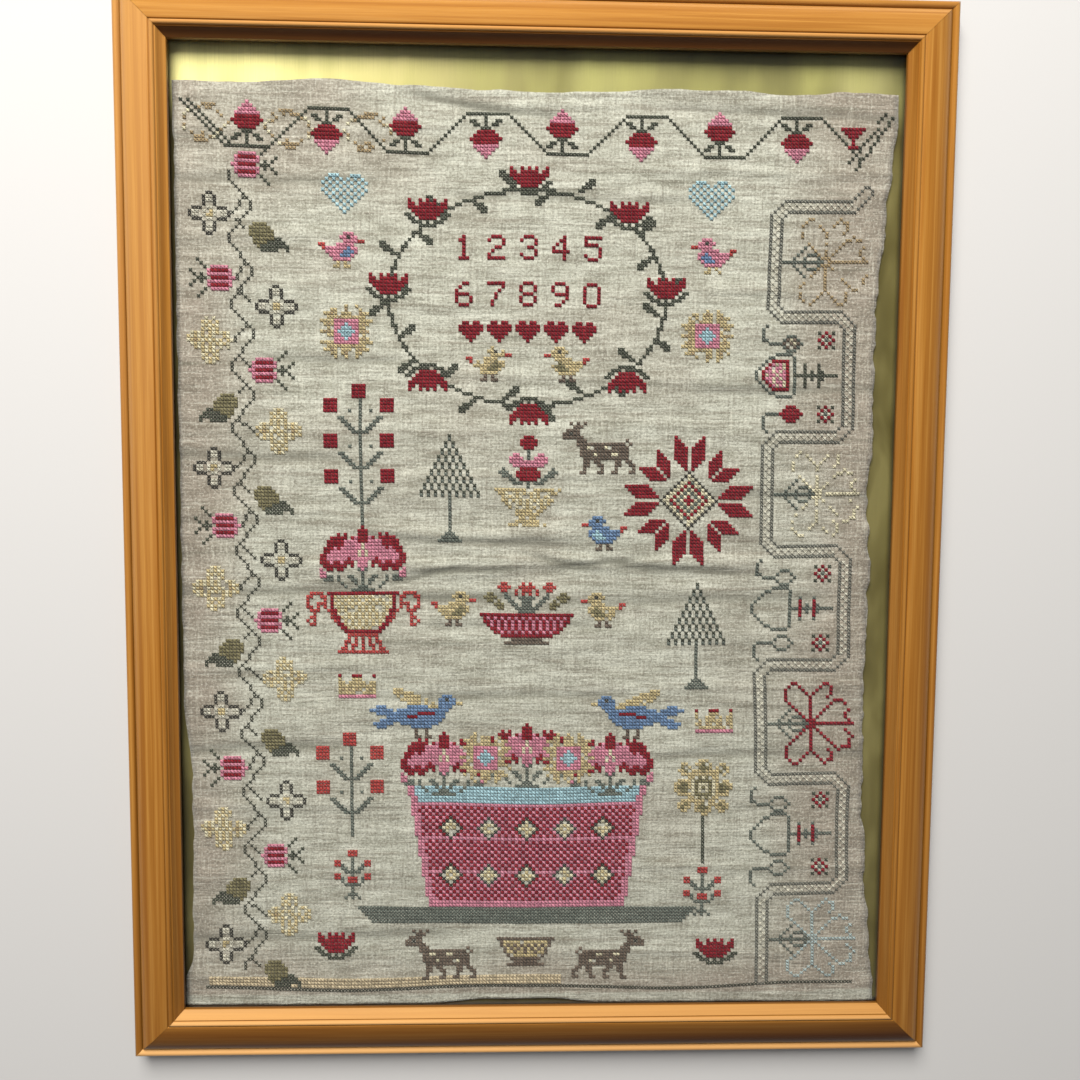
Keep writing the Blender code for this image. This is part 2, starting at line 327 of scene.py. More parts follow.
def rail_mesh(name, length, seed, painted_shades, painted_falloff):
    """Return one mitred rail along X, its outer side on the plane y = 0, painted darker toward +X by a
    painted falloff of the light.
    """
    inward, up, darkening_and_painted_shade = rail_profile(*painted_shades).T
    steps = np.hypot(np.diff(inward), np.diff(up))
    around = np.concatenate([[0.0], np.cumsum(steps)])
    shares = np.linspace(-1.0, 1.0, RAIL_STATIONS)
    half = length / 2 - inward - MITRE_GAP / sqrt(2.0)
    x = shares[:, None] * half[None, :]
    ring = len(inward)
    worn = 0.05 * smooth_noise(x, np.broadcast_to(around, x.shape), 60.0, 9.0, seed)
    y = np.broadcast_to(inward, x.shape)
    z = up[None, :] + np.where(up[None, :] > LIP_UNDERSIDE, worn, 0.0)
    points = np.stack([x, y, z], axis=-1).reshape(-1, 3)
    near = np.arange(ring)
    far = (near + 1) % ring
    sides = []
    for station in range(RAIL_STATIONS - 1):
        start = station * ring
        sides.append(np.stack([start + near, start + far, start + ring + far, start + ring + near], axis=-1))
    mesh = mesh_from_arrays(name, points, [np.concatenate(sides)])
    work = bmesh.new()
    work.from_mesh(mesh)
    work.verts.ensure_lookup_table()
    last = (RAIL_STATIONS - 1) * ring
    work.faces.new([work.verts[i] for i in range(ring)])
    work.faces.new([work.verts[last + i] for i in range(ring)])
    bmesh.ops.recalc_face_normals(work, faces=work.faces)
    work.to_mesh(mesh)
    work.free()
    mesh.shade_smooth()
    mesh.set_sharp_from_angle(angle=radians(38.0))
    grain = np.stack([x, np.broadcast_to(around, x.shape), np.full(x.shape, seed * 37.0)], axis=-1)
    store_places(mesh, "grain", grain.reshape(-1, 3))
    # the darkening, painted shade and painted highlights of the profile, plus the painted falloff of the
    # light along the rail
    store_values(mesh, "darkening_and_painted_shade", (darkening_and_painted_shade[None, :] + painted_falloff * shares[:, None]).ravel())
    return mesh


def pine_material():
    """Honey-stained pine under satin varnish, its grain along the rail, with painted shade where its stored
    value is above zero and painted highlights below zero.
    """
    material, tree, shader = new_material("stained_pine_painted_shade", 0.42, 0.4)
    grain = stored(tree, "grain", "Vector")
    darkening_and_painted_shade = stored(tree, "darkening_and_painted_shade")
    fibre = noise(tree, grain, (0.03, 1.9, 1.0), detail=5.0, roughness=0.6, distortion=0.3)
    bands = noise(tree, grain, (0.005, 0.36, 1.0), detail=2.0, distortion=0.9)
    honey = ((0.30, (0.265, 0.100, 0.012)), (0.52, (0.345, 0.148, 0.023)), (0.72, (0.41, 0.195, 0.040)))
    tone = overlaid(tree, ramp(tree, bands, honey), (
        # value, low, high, most, colour
        (fibre, 0.40, 0.75, 0.35, (0.19, 0.060, 0.005)),
        # painted shade, and the darkening every rail has, where the stored value is above zero
        (darkening_and_painted_shade, 0.0, 1.0, 0.92, (0.035, 0.008, 0.001)),
        # a painted highlight, pale like a reflection, where the stored value is below zero
        (darkening_and_painted_shade, 0.0, -1.0, 0.85, (0.72, 0.40, 0.15)),
    ))
    dress(tree, shader, tone, fibre, 0.00012, 0.5)
    shader.inputs["Coat Weight"].default_value = 0.22
    shader.inputs["Coat Roughness"].default_value = 0.30
    return material


def make_rails():
    """Make the four rails in place of their plain solids."""
    pine = pine_material()
    rails = (
        # side, length, distance of the outer side from the middle, turn,
        # painted shade on the cove, bead, grooves, slope and outer bead, below zero a painted highlight,
        # and how much darker the rail is painted at its +X end than at its middle, a painted falloff of the
        # light
        ("bottom", OUTER_WIDTH, OUTER_HEIGHT / 2, 0.0, (-0.55, -0.75, 0.3, 0.53, -0.9), 0.16),
        ("right", OUTER_HEIGHT, OUTER_WIDTH / 2, 0.5 * pi, (0.33, 0.18, 0.03, 0.08, 0.13), -0.13),
        ("top", OUTER_WIDTH, OUTER_HEIGHT / 2, pi, (0.95, -0.35, 0.6, -0.05, -0.1), 0.0),
        ("left", OUTER_HEIGHT, OUTER_WIDTH / 2, 1.5 * pi, (0.13, -0.02, 0.08, -0.06, -0.07), 0.26),
    )
    for seed, (side, length, distance, turn, painted_shades, painted_falloff) in enumerate(rails, start=1):
        node = "frame_rail_" + side
        mesh = rail_mesh("moulding_" + node, length, seed, painted_shades, painted_falloff)
        mesh.transform(Matrix.Translation((0.0, -distance * MM, 0.0)))
        mesh.transform(Matrix.Rotation(turn, 4, "Z"))
        piece = add_piece("moulding_" + node, mesh, pine)
        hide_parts(node)


# Cloth outline and folds

CLOTH_TOP_EDGE = (
    # along, out
    (-197, 246.5), (-157, 246), (-116, 248.5), (-74, 246), (-24, 244.5), (0, 243.5),
    (31, 244.5), (70, 246.5), (111, 246.5), (135, 244.5), (178, 247), (196, 246),
)
CLOTH_RIGHT_EDGE = (
    # along, out
    (-267, 197.5), (-219, 193.5), (-178, 190), (-136, 187.5), (-90, 187), (-9, 187.5),
    (47, 185.5), (80, 187.5), (141, 187), (190, 190), (227, 193.5), (246, 196),
)
CLOTH_LEFT_EDGE = (
    # along, out
    (-267, -200), (-250, -198.5), (-236, -194.5), (-175, -193), (-123, -193),
    (-90, -196.5), (22, -197), (130, -197), (246, -197),
)
CLOTH_BOTTOM_EDGE = (
    # along, out
    (-200, -266.5), (-60, -267), (-25, -264.5), (10, -264.5), (40, -267), (197, -267.5),
)
MAIN_FOLDS = (
    # x from, y from, x to, y to, half width, rise
    (-68, 13, 2, 13.5, 6, -1.5),
    (-80, 4, 10, 4, 5, 0.7),
    (-124, -8, -60, -7, 6, -1.6),
    (-124, -15, -20, -13.5, 5, 1.3),
    (-68, -22, -20, -22.5, 4.5, -1.2),
    (-68, -35, -18, -35, 4.5, -0.9),
    (-4, -5, 148, -5.5, 5, -1.4),
    (0, -12, 120, -11, 4.5, 1.2),
    (11, -19, 85, -18, 5, -1.3),
    (-66, -108, -40, -108, 5, -0.8),
    (-60, 239, -20, 241, 5.5, -1),
    (40, 240, 88, 239, 5.5, -0.9),
    (-180, 62, 120, 64, 6, 0.6),
    (-150, -56, 160, -54, 6, 0.6),
    (-160, 120, -40, 118, 8, -0.6),
    (20, 150, 180, 154, 8, -0.6),
    (-170, -190, -80, -186, 8, 0.6),
    (60, -160, 170, -158, 7, -0.6),
)
FINE_CREASES = (
    # x from, y from, x to, y to, half width, rise
    (-68, -20.5, -52, -16.5, 1.6, -1.3),
    (-52, -16.5, -22, -15.5, 1.7, -1.4),
    (-66, -32, -20, -31, 2.2, -1.3),
    (-34, 0.5, 2, -1.5, 2.2, -1.2),
    (5, -10, 22, -14, 1.8, -1.3),
    (22, -14, 44, -10.5, 1.8, -1.4),
    (44, -10.5, 60, -14.5, 1.7, -1.2),
    (60, -14.5, 104, -17, 1.8, -1.3),
    (-86, 2, -60, 0, 2, -0.9),
    (-58, 240, -30, 235, 2.2, -1.26),
    (-30, 235, 4, 231, 2, -1.08),
    (8, 237, 60, 238.5, 2, 0.9),
    (60, 238, 190, 233, 2.2, -0.9),
    (-190, 222, -60, 224, 2.6, 0.63),
    (-190, 196, -100, 195, 2.8, -0.72),
    (60, 204, 190, 203, 2.4, 0.72),
    (-40, 188, 70, 187, 2.4, -0.63),
    (-192, 165, -120, 167, 3, 0.72),
    (100, 140, 185, 138, 2.6, 0.72),
    (-140, 100, -90, 99, 2.4, -0.81),
    (-40, 92, 90, 90, 2.6, 0.63),
    (100, 84, 183, 86, 2.4, -0.72),
    (-190, 46, -120, 45, 3, -0.9),
    (-60, 36, 70, 38, 2.8, 0.72),
    (70, 27, 184, 26, 2.6, -0.81),
    (-192, 14, -130, 16, 2.6, 0.72),
    (-192, -30, -110, -28, 2.8, -0.9),
    (30, -34, 150, -31, 3, -0.81),
    (-50, -48, 20, -47, 2.4, -0.72),
    (-190, -72, -100, -70, 3, 0.72),
    (-90, -88, 40, -87, 2.6, -0.72),
    (60, -84, 184, -80, 2.8, 0.72),
    (-190, -118, -120, -116, 2.8, -0.9),
    (80, -122, 182, -121, 2.6, -0.72),
    (-186, -150, -90, -149, 2.8, 0.72),
    (70, -186, 184, -188, 3, 0.81),
    (-190, -228, -60, -226, 2.8, -0.72),
    (10, -236, 150, -238, 2.8, 0.72),
    (-180, -250, -30, -252, 2.6, 0.63),
)
FOLD_REST_LEVEL = 0.42
FOLD_FADE = 14.0
# how deep a fine crease dips where its painted shade is full
CREASE_SHADE_DEPTH = 1.3

# Where the cloth has browned along its edges, and where its upper left corner gets painted shade: the start
# and the run of each share, in x or in y
BROWN_RIGHT = (128.0, 45.0)
BROWN_LEFT = (-150.0, -40.0)
BROWN_FOOT = (-228.0, -30.0)
SHADED_CORNER_X = (-50.0, -90.0)
SHADED_CORNER_Y = (172.0, 36.0)
SHADED_CORNER_MOST = 0.75
HEM_TOP = -261.0

CLOTH_COLUMNS = 112
CLOTH_ROWS = 400


def edge_place(stations, along):
    """Return an edge's place across it, eased between its stations."""
    table = np.array(stations)
    along = np.clip(along, table[0, 0], table[-1, 0])
    start = np.clip(np.searchsorted(table[:, 0], along, side="right") - 1, 0, len(table) - 2)
    share = (along - table[start, 0]) / (table[start + 1, 0] - table[start, 0])
    eased = share * share * (3.0 - 2.0 * share)
    return table[start, 1] + (table[start + 1, 1] - table[start, 1]) * eased


def fray(along, size, seed):
    """Return an uneven line's way out of true, for places along it."""
    return smooth_noise(along, along * 0.0, size, 1.0, seed)


def cloth_plan(u, v):
    """Return the plan place for shares u across and v up the cloth."""
    x = (u - 0.5) * SIGHT_WIDTH
    y = (v - 0.5) * SIGHT_HEIGHT
    left = edge_place(CLOTH_LEFT_EDGE, y) + 0.5 * fray(y, 7.0, 15)
    right = edge_place(CLOTH_RIGHT_EDGE, y) + (0.9 * fray(y, 9.0, 11) + 0.55 * fray(y, 3.6, 12))
    bottom = edge_place(CLOTH_BOTTOM_EDGE, x)
    top = edge_place(CLOTH_TOP_EDGE, x) + (0.35 * fray(x, 11.0, 13) + 0.15 * fray(x, 2.9, 14))
    return left + (right - left) * u, bottom + (top - bottom) * v


def fold_sum(folds, x, y):
    """Return the sum of some folds at each place."""
    rise = np.zeros_like(x)
    for x_from, y_from, x_to, y_to, half_width, height in folds:
        run = np.hypot(x_to - x_from, y_to - y_from)
        step_x = (x_to - x_from) / run
        step_y = (y_to - y_from) / run
        along = (x - x_from) * step_x + (y - y_from) * step_y
        wander = 0.3 * half_width * smooth_noise(x, y, 24.0, 60.0, 21)
        across = (y - y_from) * step_x - (x - x_from) * step_y + wander
        past_end = np.maximum(0.0, np.maximum(-along, along - run))
        rise += height * np.exp(-((past_end / FOLD_FADE) ** 2)) * np.exp(-((across / half_width) ** 2))
    return rise


def cloth_height(x, y):
    """Return the height of the cloth's top, kept within the room for folds."""
    rise = fold_sum(MAIN_FOLDS, x, y) + fold_sum(FINE_CREASES, x, y)
    rise += 0.36 * smooth_noise(x, y, 46.0, 10.0, 22) + 0.20 * smooth_noise(x, y, 15.0, 5.0, 23)
    rise += 0.18 * smooth_noise(x, y, 9.0, 34.0, 24)
    low = FOLD_REST_LEVEL * CLOTH_FOLD_ROOM
    high = (1.0 - FOLD_REST_LEVEL) * CLOTH_FOLD_ROOM
    limit = np.where(rise > 0.0, high, low)
    return CLOTH_LOWEST + CLOTH_THICKNESS / 2 + low + limit * np.tanh(rise / limit)


def linen_material():
    """Old unbleached linen: uneven threads both ways, slubs and faint stains, browned edges, and painted
    shade in its creases and its upper left corner.
    """
    material, tree, shader = new_material("aged_linen", 0.92, 0.2)
    flat = stored(tree, "flat", "Vector")
    age = stored(tree, "age")
    weft = noise(tree, flat, (0.045, 0.62, 1.0), roughness=0.7)
    weft_long = noise(tree, flat, (0.014, 0.26, 1.0), (7.0, 3.0, 0.0), roughness=0.6)
    warp = noise(tree, flat, (0.62, 0.04, 1.0), (3.0, 9.0, 0.0), roughness=0.7)
    clouds = noise(tree, flat, (0.04, 0.15, 1.0), (1.0, 5.0, 0.0), detail=4.0, roughness=0.68)
    lines = noise(tree, flat, (0.011, 0.20, 1.0), (5.0, 1.0, 0.0), detail=2.0, roughness=0.5)
    grain = noise(tree, flat, (0.75, 0.75, 1.0), (2.0, 2.0, 0.0), roughness=0.75)
    # toward these darker tones where the cloth is browned, and in the upper left corner's painted shade
    light = mix(tree, age, (0.62, 0.615, 0.525), (0.42, 0.36, 0.295))
    shade = mix(tree, age, (0.285, 0.275, 0.215), (0.195, 0.16, 0.12))
    tone = overlaid(tree, light, (
        # value, low, high, most, colour
        (clouds, 0.36, 0.66, 0.85, shade),
        (weft, 0.50, 0.70, 0.60, (0.19, 0.16, 0.12)),
        (weft_long, 0.52, 0.68, 0.50, (0.22, 0.185, 0.14)),
        (warp, 0.50, 0.72, 0.50, (0.20, 0.17, 0.13)),
        (lines, 0.60, 0.72, 0.55, (0.15, 0.14, 0.10)),
        (weft, 0.46, 0.28, 0.50, (0.74, 0.72, 0.62)),
        (warp, 0.46, 0.28, 0.40, (0.72, 0.69, 0.58)),
        (grain, 0.48, 0.68, 0.60, (0.13, 0.11, 0.08)),
        (grain, 0.46, 0.32, 0.50, (0.78, 0.76, 0.66)),
        # painted shade in the hollows of the fine creases
        (stored(tree, "painted_crease_shade"), 0.0, 1.0, 0.75, (0.13, 0.125, 0.095)),
    ))
    dress(tree, shader, tone, total(tree, total(tree, weft, warp), grain), 0.0009, 0.7)
    shader.inputs["Sheen Weight"].default_value = 0.2
    shader.inputs["Sheen Roughness"].default_value = 0.6
    return material


def cloth_browning_and_shade(x, y):
    """Return how far the cloth has browned, which is most along its edges, with painted shade added in its
    upper left corner.
    """
    edge = np.maximum(rising(x, *BROWN_RIGHT), rising(x, *BROWN_LEFT))
    # painted shade in the upper left corner, where the lamp falls brightest
    edge = np.maximum(edge, SHADED_CORNER_MOST * (rising(x, *SHADED_CORNER_X) * rising(y, *SHADED_CORNER_Y)))
    edge = np.maximum(edge, rising(y, *BROWN_FOOT))
    edge = np.where(y < HEM_TOP, 0.0, edge)
    return np.clip(edge + 0.35 * smooth_noise(x, y, 38.0, 30.0, 25), 0.0, 1.0)


def make_cloth(linen):
    """Make the linen as a thin sheet on its folds."""
    u, v = np.meshgrid(np.linspace(0.0, 1.0, CLOTH_COLUMNS), np.linspace(0.0, 1.0, CLOTH_ROWS))
    x, y = cloth_plan(u.ravel(), v.ravel())
    cloth, mesh = sheet_piece(
        "sampler_linen", "sampler_linen", x, y, cloth_height(x, y),
        CLOTH_COLUMNS, CLOTH_ROWS, CLOTH_THICKNESS, linen,
    )
    store_values(mesh, "age", cloth_browning_and_shade(x, y))
    # painted shade, full where a fine crease dips by the crease shade depth
    store_values(mesh, "painted_crease_shade", np.clip(-fold_sum(FINE_CREASES, x, y) / CREASE_SHADE_DEPTH, 0.0, 1.0))
    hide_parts("sampler_cloth")
    return cloth


# Threads, by their letter in the charts: name, linear colour, half width of a strand

THREADS = {
    "r": ("dark_red", (0.240, 0.004, 0.013), 0.60),
    "p": ("rose_pink", (0.600, 0.230, 0.310), 0.58),
    "t": ("faded_red", (0.430, 0.045, 0.040), 0.50),
    "g": ("dark_green", (0.062, 0.068, 0.046), 0.44),
    "v": ("vine_green", (0.050, 0.052, 0.036), 0.32),
    "s": ("grey_green", (0.125, 0.142, 0.120), 0.44),
    "e": ("faded_sand", (0.58, 0.475, 0.315), 0.52),
    "m": ("ash_green", (0.150, 0.150, 0.128), 0.34),
    "o": ("olive_green", (0.205, 0.178, 0.092), 0.58),
    "y": ("old_gold", (0.560, 0.450, 0.240), 0.48),
    "f": ("faded_straw", (0.385, 0.280, 0.150), 0.40),
    "c": ("cream", (0.680, 0.620, 0.440), 0.50),
    "w": ("pale_flax", (0.600, 0.570, 0.470), 0.40),
    "b": ("soft_blue", (0.150, 0.240, 0.400), 0.58),
    "l": ("pale_blue", (0.360, 0.540, 0.600), 0.54),
    "u": ("faded_blue", (0.420, 0.510, 0.510), 0.36),
    "n": ("warm_brown", (0.150, 0.110, 0.082), 0.52),
    "k": ("near_black", (0.042, 0.038, 0.030), 0.40),
}

# Motif charts: each row is a row of stitches, and a dot is bare cloth. The charts are given
# from their left half, upper left quarter or upper half where they are alike on both sides

CROSS_FLOWER = """
.....k
....kw
....kw
....k.
.kkk.w
kww.wy
""".split()
STRIPED_BUD = """
..g..........
...g.........
....g.ppppp..
g....prrrrrp.
.g.g.ppppppp.
..ggg.rrrrrpp
""".split()
VINE_LEAF = """
......oooo..
.....oooooo.
....ooooooo.
....ooooooo.
..ggoooooo..
.gggggoooo..
ggggggggo...
g..ggggg....
""".split()
PALE_FLOWER = """
.....cy
....ycy
....cyc
....ycy
.cycycy
ycycycy
cyfycyc
""".split()
CARNATION = """
....p
...pp
..ppp
.pppp
.rrrr
rrrrr
.rrrr
..rrr
...gg
.gg.g
gg..g
....g
""".split()
GOBLET = """
rrrr
.rrr
..rr
...r
...r
..rr
""".split()
FADED_SPRAY = """
......ffff....
....fffff..f..
..cf......f...
.c.........fc.
.f...........c
c............f
.f..........c.
.c.........f..
...f..ff..c...
....fffffc....
....ffff......
""".split()
STRAWBERRY = """
......sssss.
....ss.....s
...s.rrrrr.s
..s.rpcpcr.s
.s.rpcppcr.s
s.rppcpcpr.s
s.rcppcppr.s
""".split()
BARRED_STEM = """
...g...g......
...r...r......
...r.g.rg.....
gggrgggrggggg.
""".split()
SMALL_OVAL = """
..ss
.snc
sncn
""".split()
RED_BALL = """
..rr
.rrr
rrrr
""".split()
SNOWFLAKE = """
g.r
.rw
rws
""".split()
LATTICE_HEART = """
..lll..
.l.l.l.
l.l.l.l
.l.l.l.
l.l.l.l
.l.l.l.
..l.l.l
...l.l.
....l.l
.....l.
......l
""".split()
LITTLE_HEART = """
.rr.
rrrr
rrrr
.rrr
..rr
...r
""".split()
ROSETTE = """
....y..y
...yy.yf
.yyfy.yy
..yyyfyy
yyyypppp
.yfypppl
..yyppll
yffyplll
""".split()
TULIP = """
.r..r.r
.rr.rrr
.rrrrrr
..rrrrr
gg.rrrr
.gg.rrr
..ggg.g
....ggg
""".split()
GARLAND_LEAF = """
...gg
..ggg
.ggg.
gg...
""".split()
POT = """
nnnnnnnnn
.nyyyyyyy
.nynynyny
..nynynyn
..nyynyyn
...nyyyyy
....nnnnn
.....nnnn
...nnnnnn
""".split()
GRAND_CARNATION = """
............r
...........rr
.....r.r...rr
...rrrrr.rprr
..rrrrrpppprr
..rrrrrpppppc
.rrrprppppppc
.rrppppppppcp
rrpppppppppcp
rrpppppprpppp
rrrprrprrr.pp
.rrrrrrr.r.pp
p.rr.rr....sp
pp..........s
ppss.s..ss..s
.sss.s...ss.s
......s...s.s
.......s...ss
.........ssss
""".split()
CROWN = """
.r...rr
.y...yy
.yy.yyy
.yyyyyy
.yfyfyf
.yyyyyy
.pppppp
""".split()
URN = """
...tttt.rrrrrrrrrrr
..tt..tt.rycycycycy
..t....t.rcycycycyc
..t..ttt.rycycycycy
..tt.t.t.rcycycycyc
...ttt..trrycycycyc
....t....trcycycycy
...tt....trrycycycy
..t.t.....trcycycyc
...tt......rrycycyc
............rrycycy
.............rrrrrr
..............ttttt
..............t.t.t
.............tt.t.t
.............t.tt.t
............tt.t..t
...........tttttttt
""".split()
FLOWER_BOWL = """
......tt....t.
.....tttt..ttt
......tt..t.tt
..oo...s..t.t.
.oooo..ss..sss
..oo.o..ss..ss
....ooo..ss.ss
.....oo...ssss
...........sss
rrrrrrrrrrrrrr
.rprprprprprpr
.rrprprprprprp
..rprprprprprp
...rrprprprprp
....rrprprprpr
......rrrrrrrr
.........nnnnn
.......nnnnnnn
""".split()
BALL_VASE = """
........rr
.......rrr
.......rrr
........rr
.........s
.....pp..s
....pppp.s
....pppppp
.....ppppp
..s....rrr
.sss..rrrr
..sss.rrrr
....ss.rrr
.....sss.s
.........s
yyyyyyyyyy
.yycycycyc
..ycycycyc
..yycycycy
...ycycycy
....yycycy
.....yyyyy
......yyyy
.......yyy
......yyyy
....yyyyyy
""".split()
SMALL_BIRD = """
.....yyy.......
....yykyy......
..ttyyyy.......
.....yyyyy...tt
....yyoyyyyyyt.
....yoooyyyyy..
.....yoooyyy...
......yyyyy....
.......n.n.....
......nn.nn....
""".split()
LARGE_BIRD = """
..................yyy.......
...............yyyyyy.......
....bbb......yyyyyyy........
...bbkbb...yyyyyyyy.........
.yybbbbb.yyyyyyyy...........
....bbbbyyybbbbbb......bbb..
.....bbbbbbbbbbbbbbb.bbbbbbb
......bbbrrrrrbbbbbbbbbbbb..
......bbbbbbbbrrrbbbbbb.....
.......bbbbbbbbbbbbbbbbbb...
........bbbbbbbbbbb..bbbbbb.
..........bbbbbb.......bbb..
...........n..n.............
...........n..n.............
..........nn.nn.............
""".split()
STAG = """
....n.n.n...............
.....nnn................
...nnnn.................
..nnknn.................
..nnnnnn................
......nnn...........n...
......nnnnnnnnnnnnnn.n..
.......nnccnnnccnnnnn...
.......nnnnnnnnnnnnnn...
.......nnnncnnnnccnnn...
........nnnnnnnnnnnnn...
........nn.nn....nn.nn..
........nn..nn...nn..nn.
........n....n...n....n.
.......nn...nn..nn...nn.
""".split()
BERRY_SHRUB = """
.....tt
.....tt
......s
.tt...s
.tts..s
...ss.s
....sss
.tt...s
.tts.tt
...s.tt
....sss
......s
......s
.....ss
....s.s
""".split()
GOLD_DAHLIA = """
.......yy
..yy..yyo
.yoyy.yoo
.yyoyyyyo
..yyyyyyy
....yycoc
.yyyycooo
yyooycocc
yoooycoco
""".split()
LOZENGE = """
...k
..kc
.kcy
kcyc
""".split()
DIGITS = {
    "0": ".rrr. r...r r...r r...r r...r r...r .rrr.".split(),
    "1": "..r.. .rr.. ..r.. ..r.. ..r.. ..r.. .rrr.".split(),
    "2": ".rrr. r...r ....r ..rr. .r... r.... rrrrr".split(),
    "3": ".rrr. r...r ....r ..rr. ....r r...r .rrr.".split(),
    "4": "...r. ..rr. .r.r. r..r. rrrrr ...r. ...r.".split(),
    "5": "rrrrr r.... rrrr. ....r ....r r...r .rrr.".split(),
    "6": "..rr. .r... r.... rrrr. r...r r...r .rrr.".split(),
    "7": "rrrrr ....r ...r. ..r.. ..r.. .r... .r...".split(),
    "8": ".rrr. r...r r...r .rrr. r...r r...r .rrr.".split(),
    "9": ".rrr. r...r r...r .rrrr ....r ...r. .rr..".split(),
}

chart = {}


def whole(half_rows):
    """Return a chart from its left half, which ends at the middle column."""
    return tuple(row + row[-2::-1] for row in half_rows)


def mirrored(upper_rows):
    """Return a chart from its upper half, which ends at the middle row."""
    return upper_rows + upper_rows[-2::-1]


def four_fold(quarter_rows):
    """Return a chart from its upper left quarter, which ends at the middle."""
    return mirrored(whole(quarter_rows))


def even_fold(quarter_rows):
    """Return a chart from its upper left quarter, which stops beside the middle."""
    top = tuple(row + row[::-1] for row in quarter_rows)
    return top + top[::-1]


def sew(column, row, thread):
    """Set one stitch of the chart."""
    if thread != ".":
        chart[(floor(column + 0.5), floor(row + 0.5))] = thread


def motif(rows, column, row, flip=False, upside_down=False, threads=None):
    """Set a motif with its middle at a column and row."""
    rows = rows[::-1] if upside_down else rows
    left = floor(column - len(rows[0]) / 2 + 0.5)
    top = floor(row - len(rows) / 2 + 0.5)
    for down, text in enumerate(rows):
        text = text[::-1] if flip else text
        for across, letter in enumerate(text):
            sew(left + across, top + down, (threads or {}).get(letter, letter))


def line(start, end, thread):
    """Set a straight line of stitches."""
    steps = int(max(abs(end[0] - start[0]), abs(end[1] - start[1]), 1))
    for step in range(steps + 1):
        share = step / steps
        sew(start[0] + (end[0] - start[0]) * share, start[1] + (end[1] - start[1]) * share, thread)


def stroke(places, column, row, thread, turn_over=1):
    """Set a bent line through places that are counted from a column and row."""
    for (c0, r0), (c1, r1) in zip(places, places[1:]):
        line((column + c0, row + turn_over * r0), (column + c1, row + turn_over * r1), thread)


# Border of the left side

VINE_TOP = 24.0
VINE_PITCH = 17.43
VINE_LEFT = 14
VINE_RIGHT = 20
VINE_TURNS = 13
LEFT_BEND = 0.7
RIGHT_BEND = 9.2
BAY_DROP = 2.0
FLOWER_RISE = 1.0
FLOWER_CREEP = 0.7
CREEP_TURNS = 5
VINE_FLOWERS = {
    # middle column of each flower on the right of the vine and on its left
    "cross": (26.5, 9.0),
    "top bud": (21.5, 9.5),
    "striped": (25.5, 9.5),
    "pale": (27.5, 8.5),
    "leaf": (24.5, 11.0),
}


def left_border():
    """Set the waving vine and the flowers in its bays on both sides."""
    order = ("cross", "striped", "pale", "leaf")
    for turn in range(VINE_TURNS + 1):
        right_row = round(VINE_TOP + RIGHT_BEND + VINE_PITCH * turn)
        left_row = round(VINE_TOP + LEFT_BEND + VINE_PITCH * turn)
        next_left = round(VINE_TOP + LEFT_BEND + VINE_PITCH * (turn + 1))
        line((VINE_LEFT, left_row - 1), (VINE_LEFT, left_row + 1), "v")
        if turn < VINE_TURNS:
            line((VINE_LEFT, left_row + 1), (VINE_RIGHT, right_row - 1), "v")
            line((VINE_RIGHT, right_row - 1), (VINE_RIGHT, right_row + 1), "v")
            line((VINE_RIGHT, right_row + 1), (VINE_LEFT, next_left - 1), "v")
            vine_flower(order[turn % 4], False, right_row + BAY_DROP)
        kind = order[(turn + 2) % 4] if turn else "top bud"
        vine_flower(kind, True, left_row + min(turn, CREEP_TURNS) * FLOWER_CREEP - FLOWER_RISE)


def vine_flower(kind, on_right, row):
    """Set one flower of the left border, with its stalk from the vine."""
    side = 1 if on_right else -1
    inner = VINE_LEFT if on_right else VINE_RIGHT
    places = VINE_FLOWERS[kind]
    centre = places[0] if on_right else places[1]
    if kind == "leaf":
        line((inner + side * 2, row - 5), (inner + side * 4, row - 3), "v")
        motif(VINE_LEAF, centre, row if on_right else row + 1.5, flip=on_right)
        return
    line((inner + side * 2, row - 4), (centre - side * 6, row), "v")
    if kind == "cross":
        motif(even_fold(CROSS_FLOWER), centre, row + 0.5)
    elif kind == "striped":
        motif(mirrored(STRIPED_BUD), centre, row, flip=on_right)
    elif kind == "top bud":
        motif(mirrored(STRIPED_BUD), centre, row - 1.5, flip=on_right)
    else:
        motif(four_fold(PALE_FLOWER), centre, row)


# Border of the top

TOP_HIGH = 6
TOP_LOW = 17
TOP_FIRST = 14
TOP_STEP = 11
TOP_BAYS = 4
TOP_SHIFTS = (-0.5, 0.0, -1.5, -1.5)


def top_border():
    """Set the flat-topped vine with a carnation in each bay."""
    motif(FADED_SPRAY, 8, 11)
    motif(FADED_SPRAY, 30.5, 12, flip=True)
    motif(FADED_SPRAY, 52.5, 12)
    for offset in (0, 2):
        line((1 + offset, 5), (TOP_FIRST + offset - 1, TOP_LOW), "g")
        line((189 - offset, TOP_LOW + 3 - offset), (199 - offset, 6 - offset / 3), "g")
    for bay in range(TOP_BAYS):
        low = TOP_FIRST + bay * 4 * TOP_STEP
        high = low + 2 * TOP_STEP
        line((low, TOP_LOW), (low + TOP_STEP, TOP_LOW), "g")
        line((low + TOP_STEP, TOP_LOW), (high, TOP_HIGH), "g")
        line((high, TOP_HIGH), (high + TOP_STEP, TOP_HIGH), "g")
        line((high + TOP_STEP, TOP_HIGH), (high + 2 * TOP_STEP, TOP_LOW), "g")
        shift = TOP_SHIFTS[bay]
        motif(whole(CARNATION), low + TOP_STEP / 2 + shift, TOP_LOW - 6)
        motif(whole(CARNATION), high + TOP_STEP / 2 + shift, TOP_HIGH + 7, upside_down=True)
    motif(whole(GOBLET), 188.5, 12)


# Border of the right side

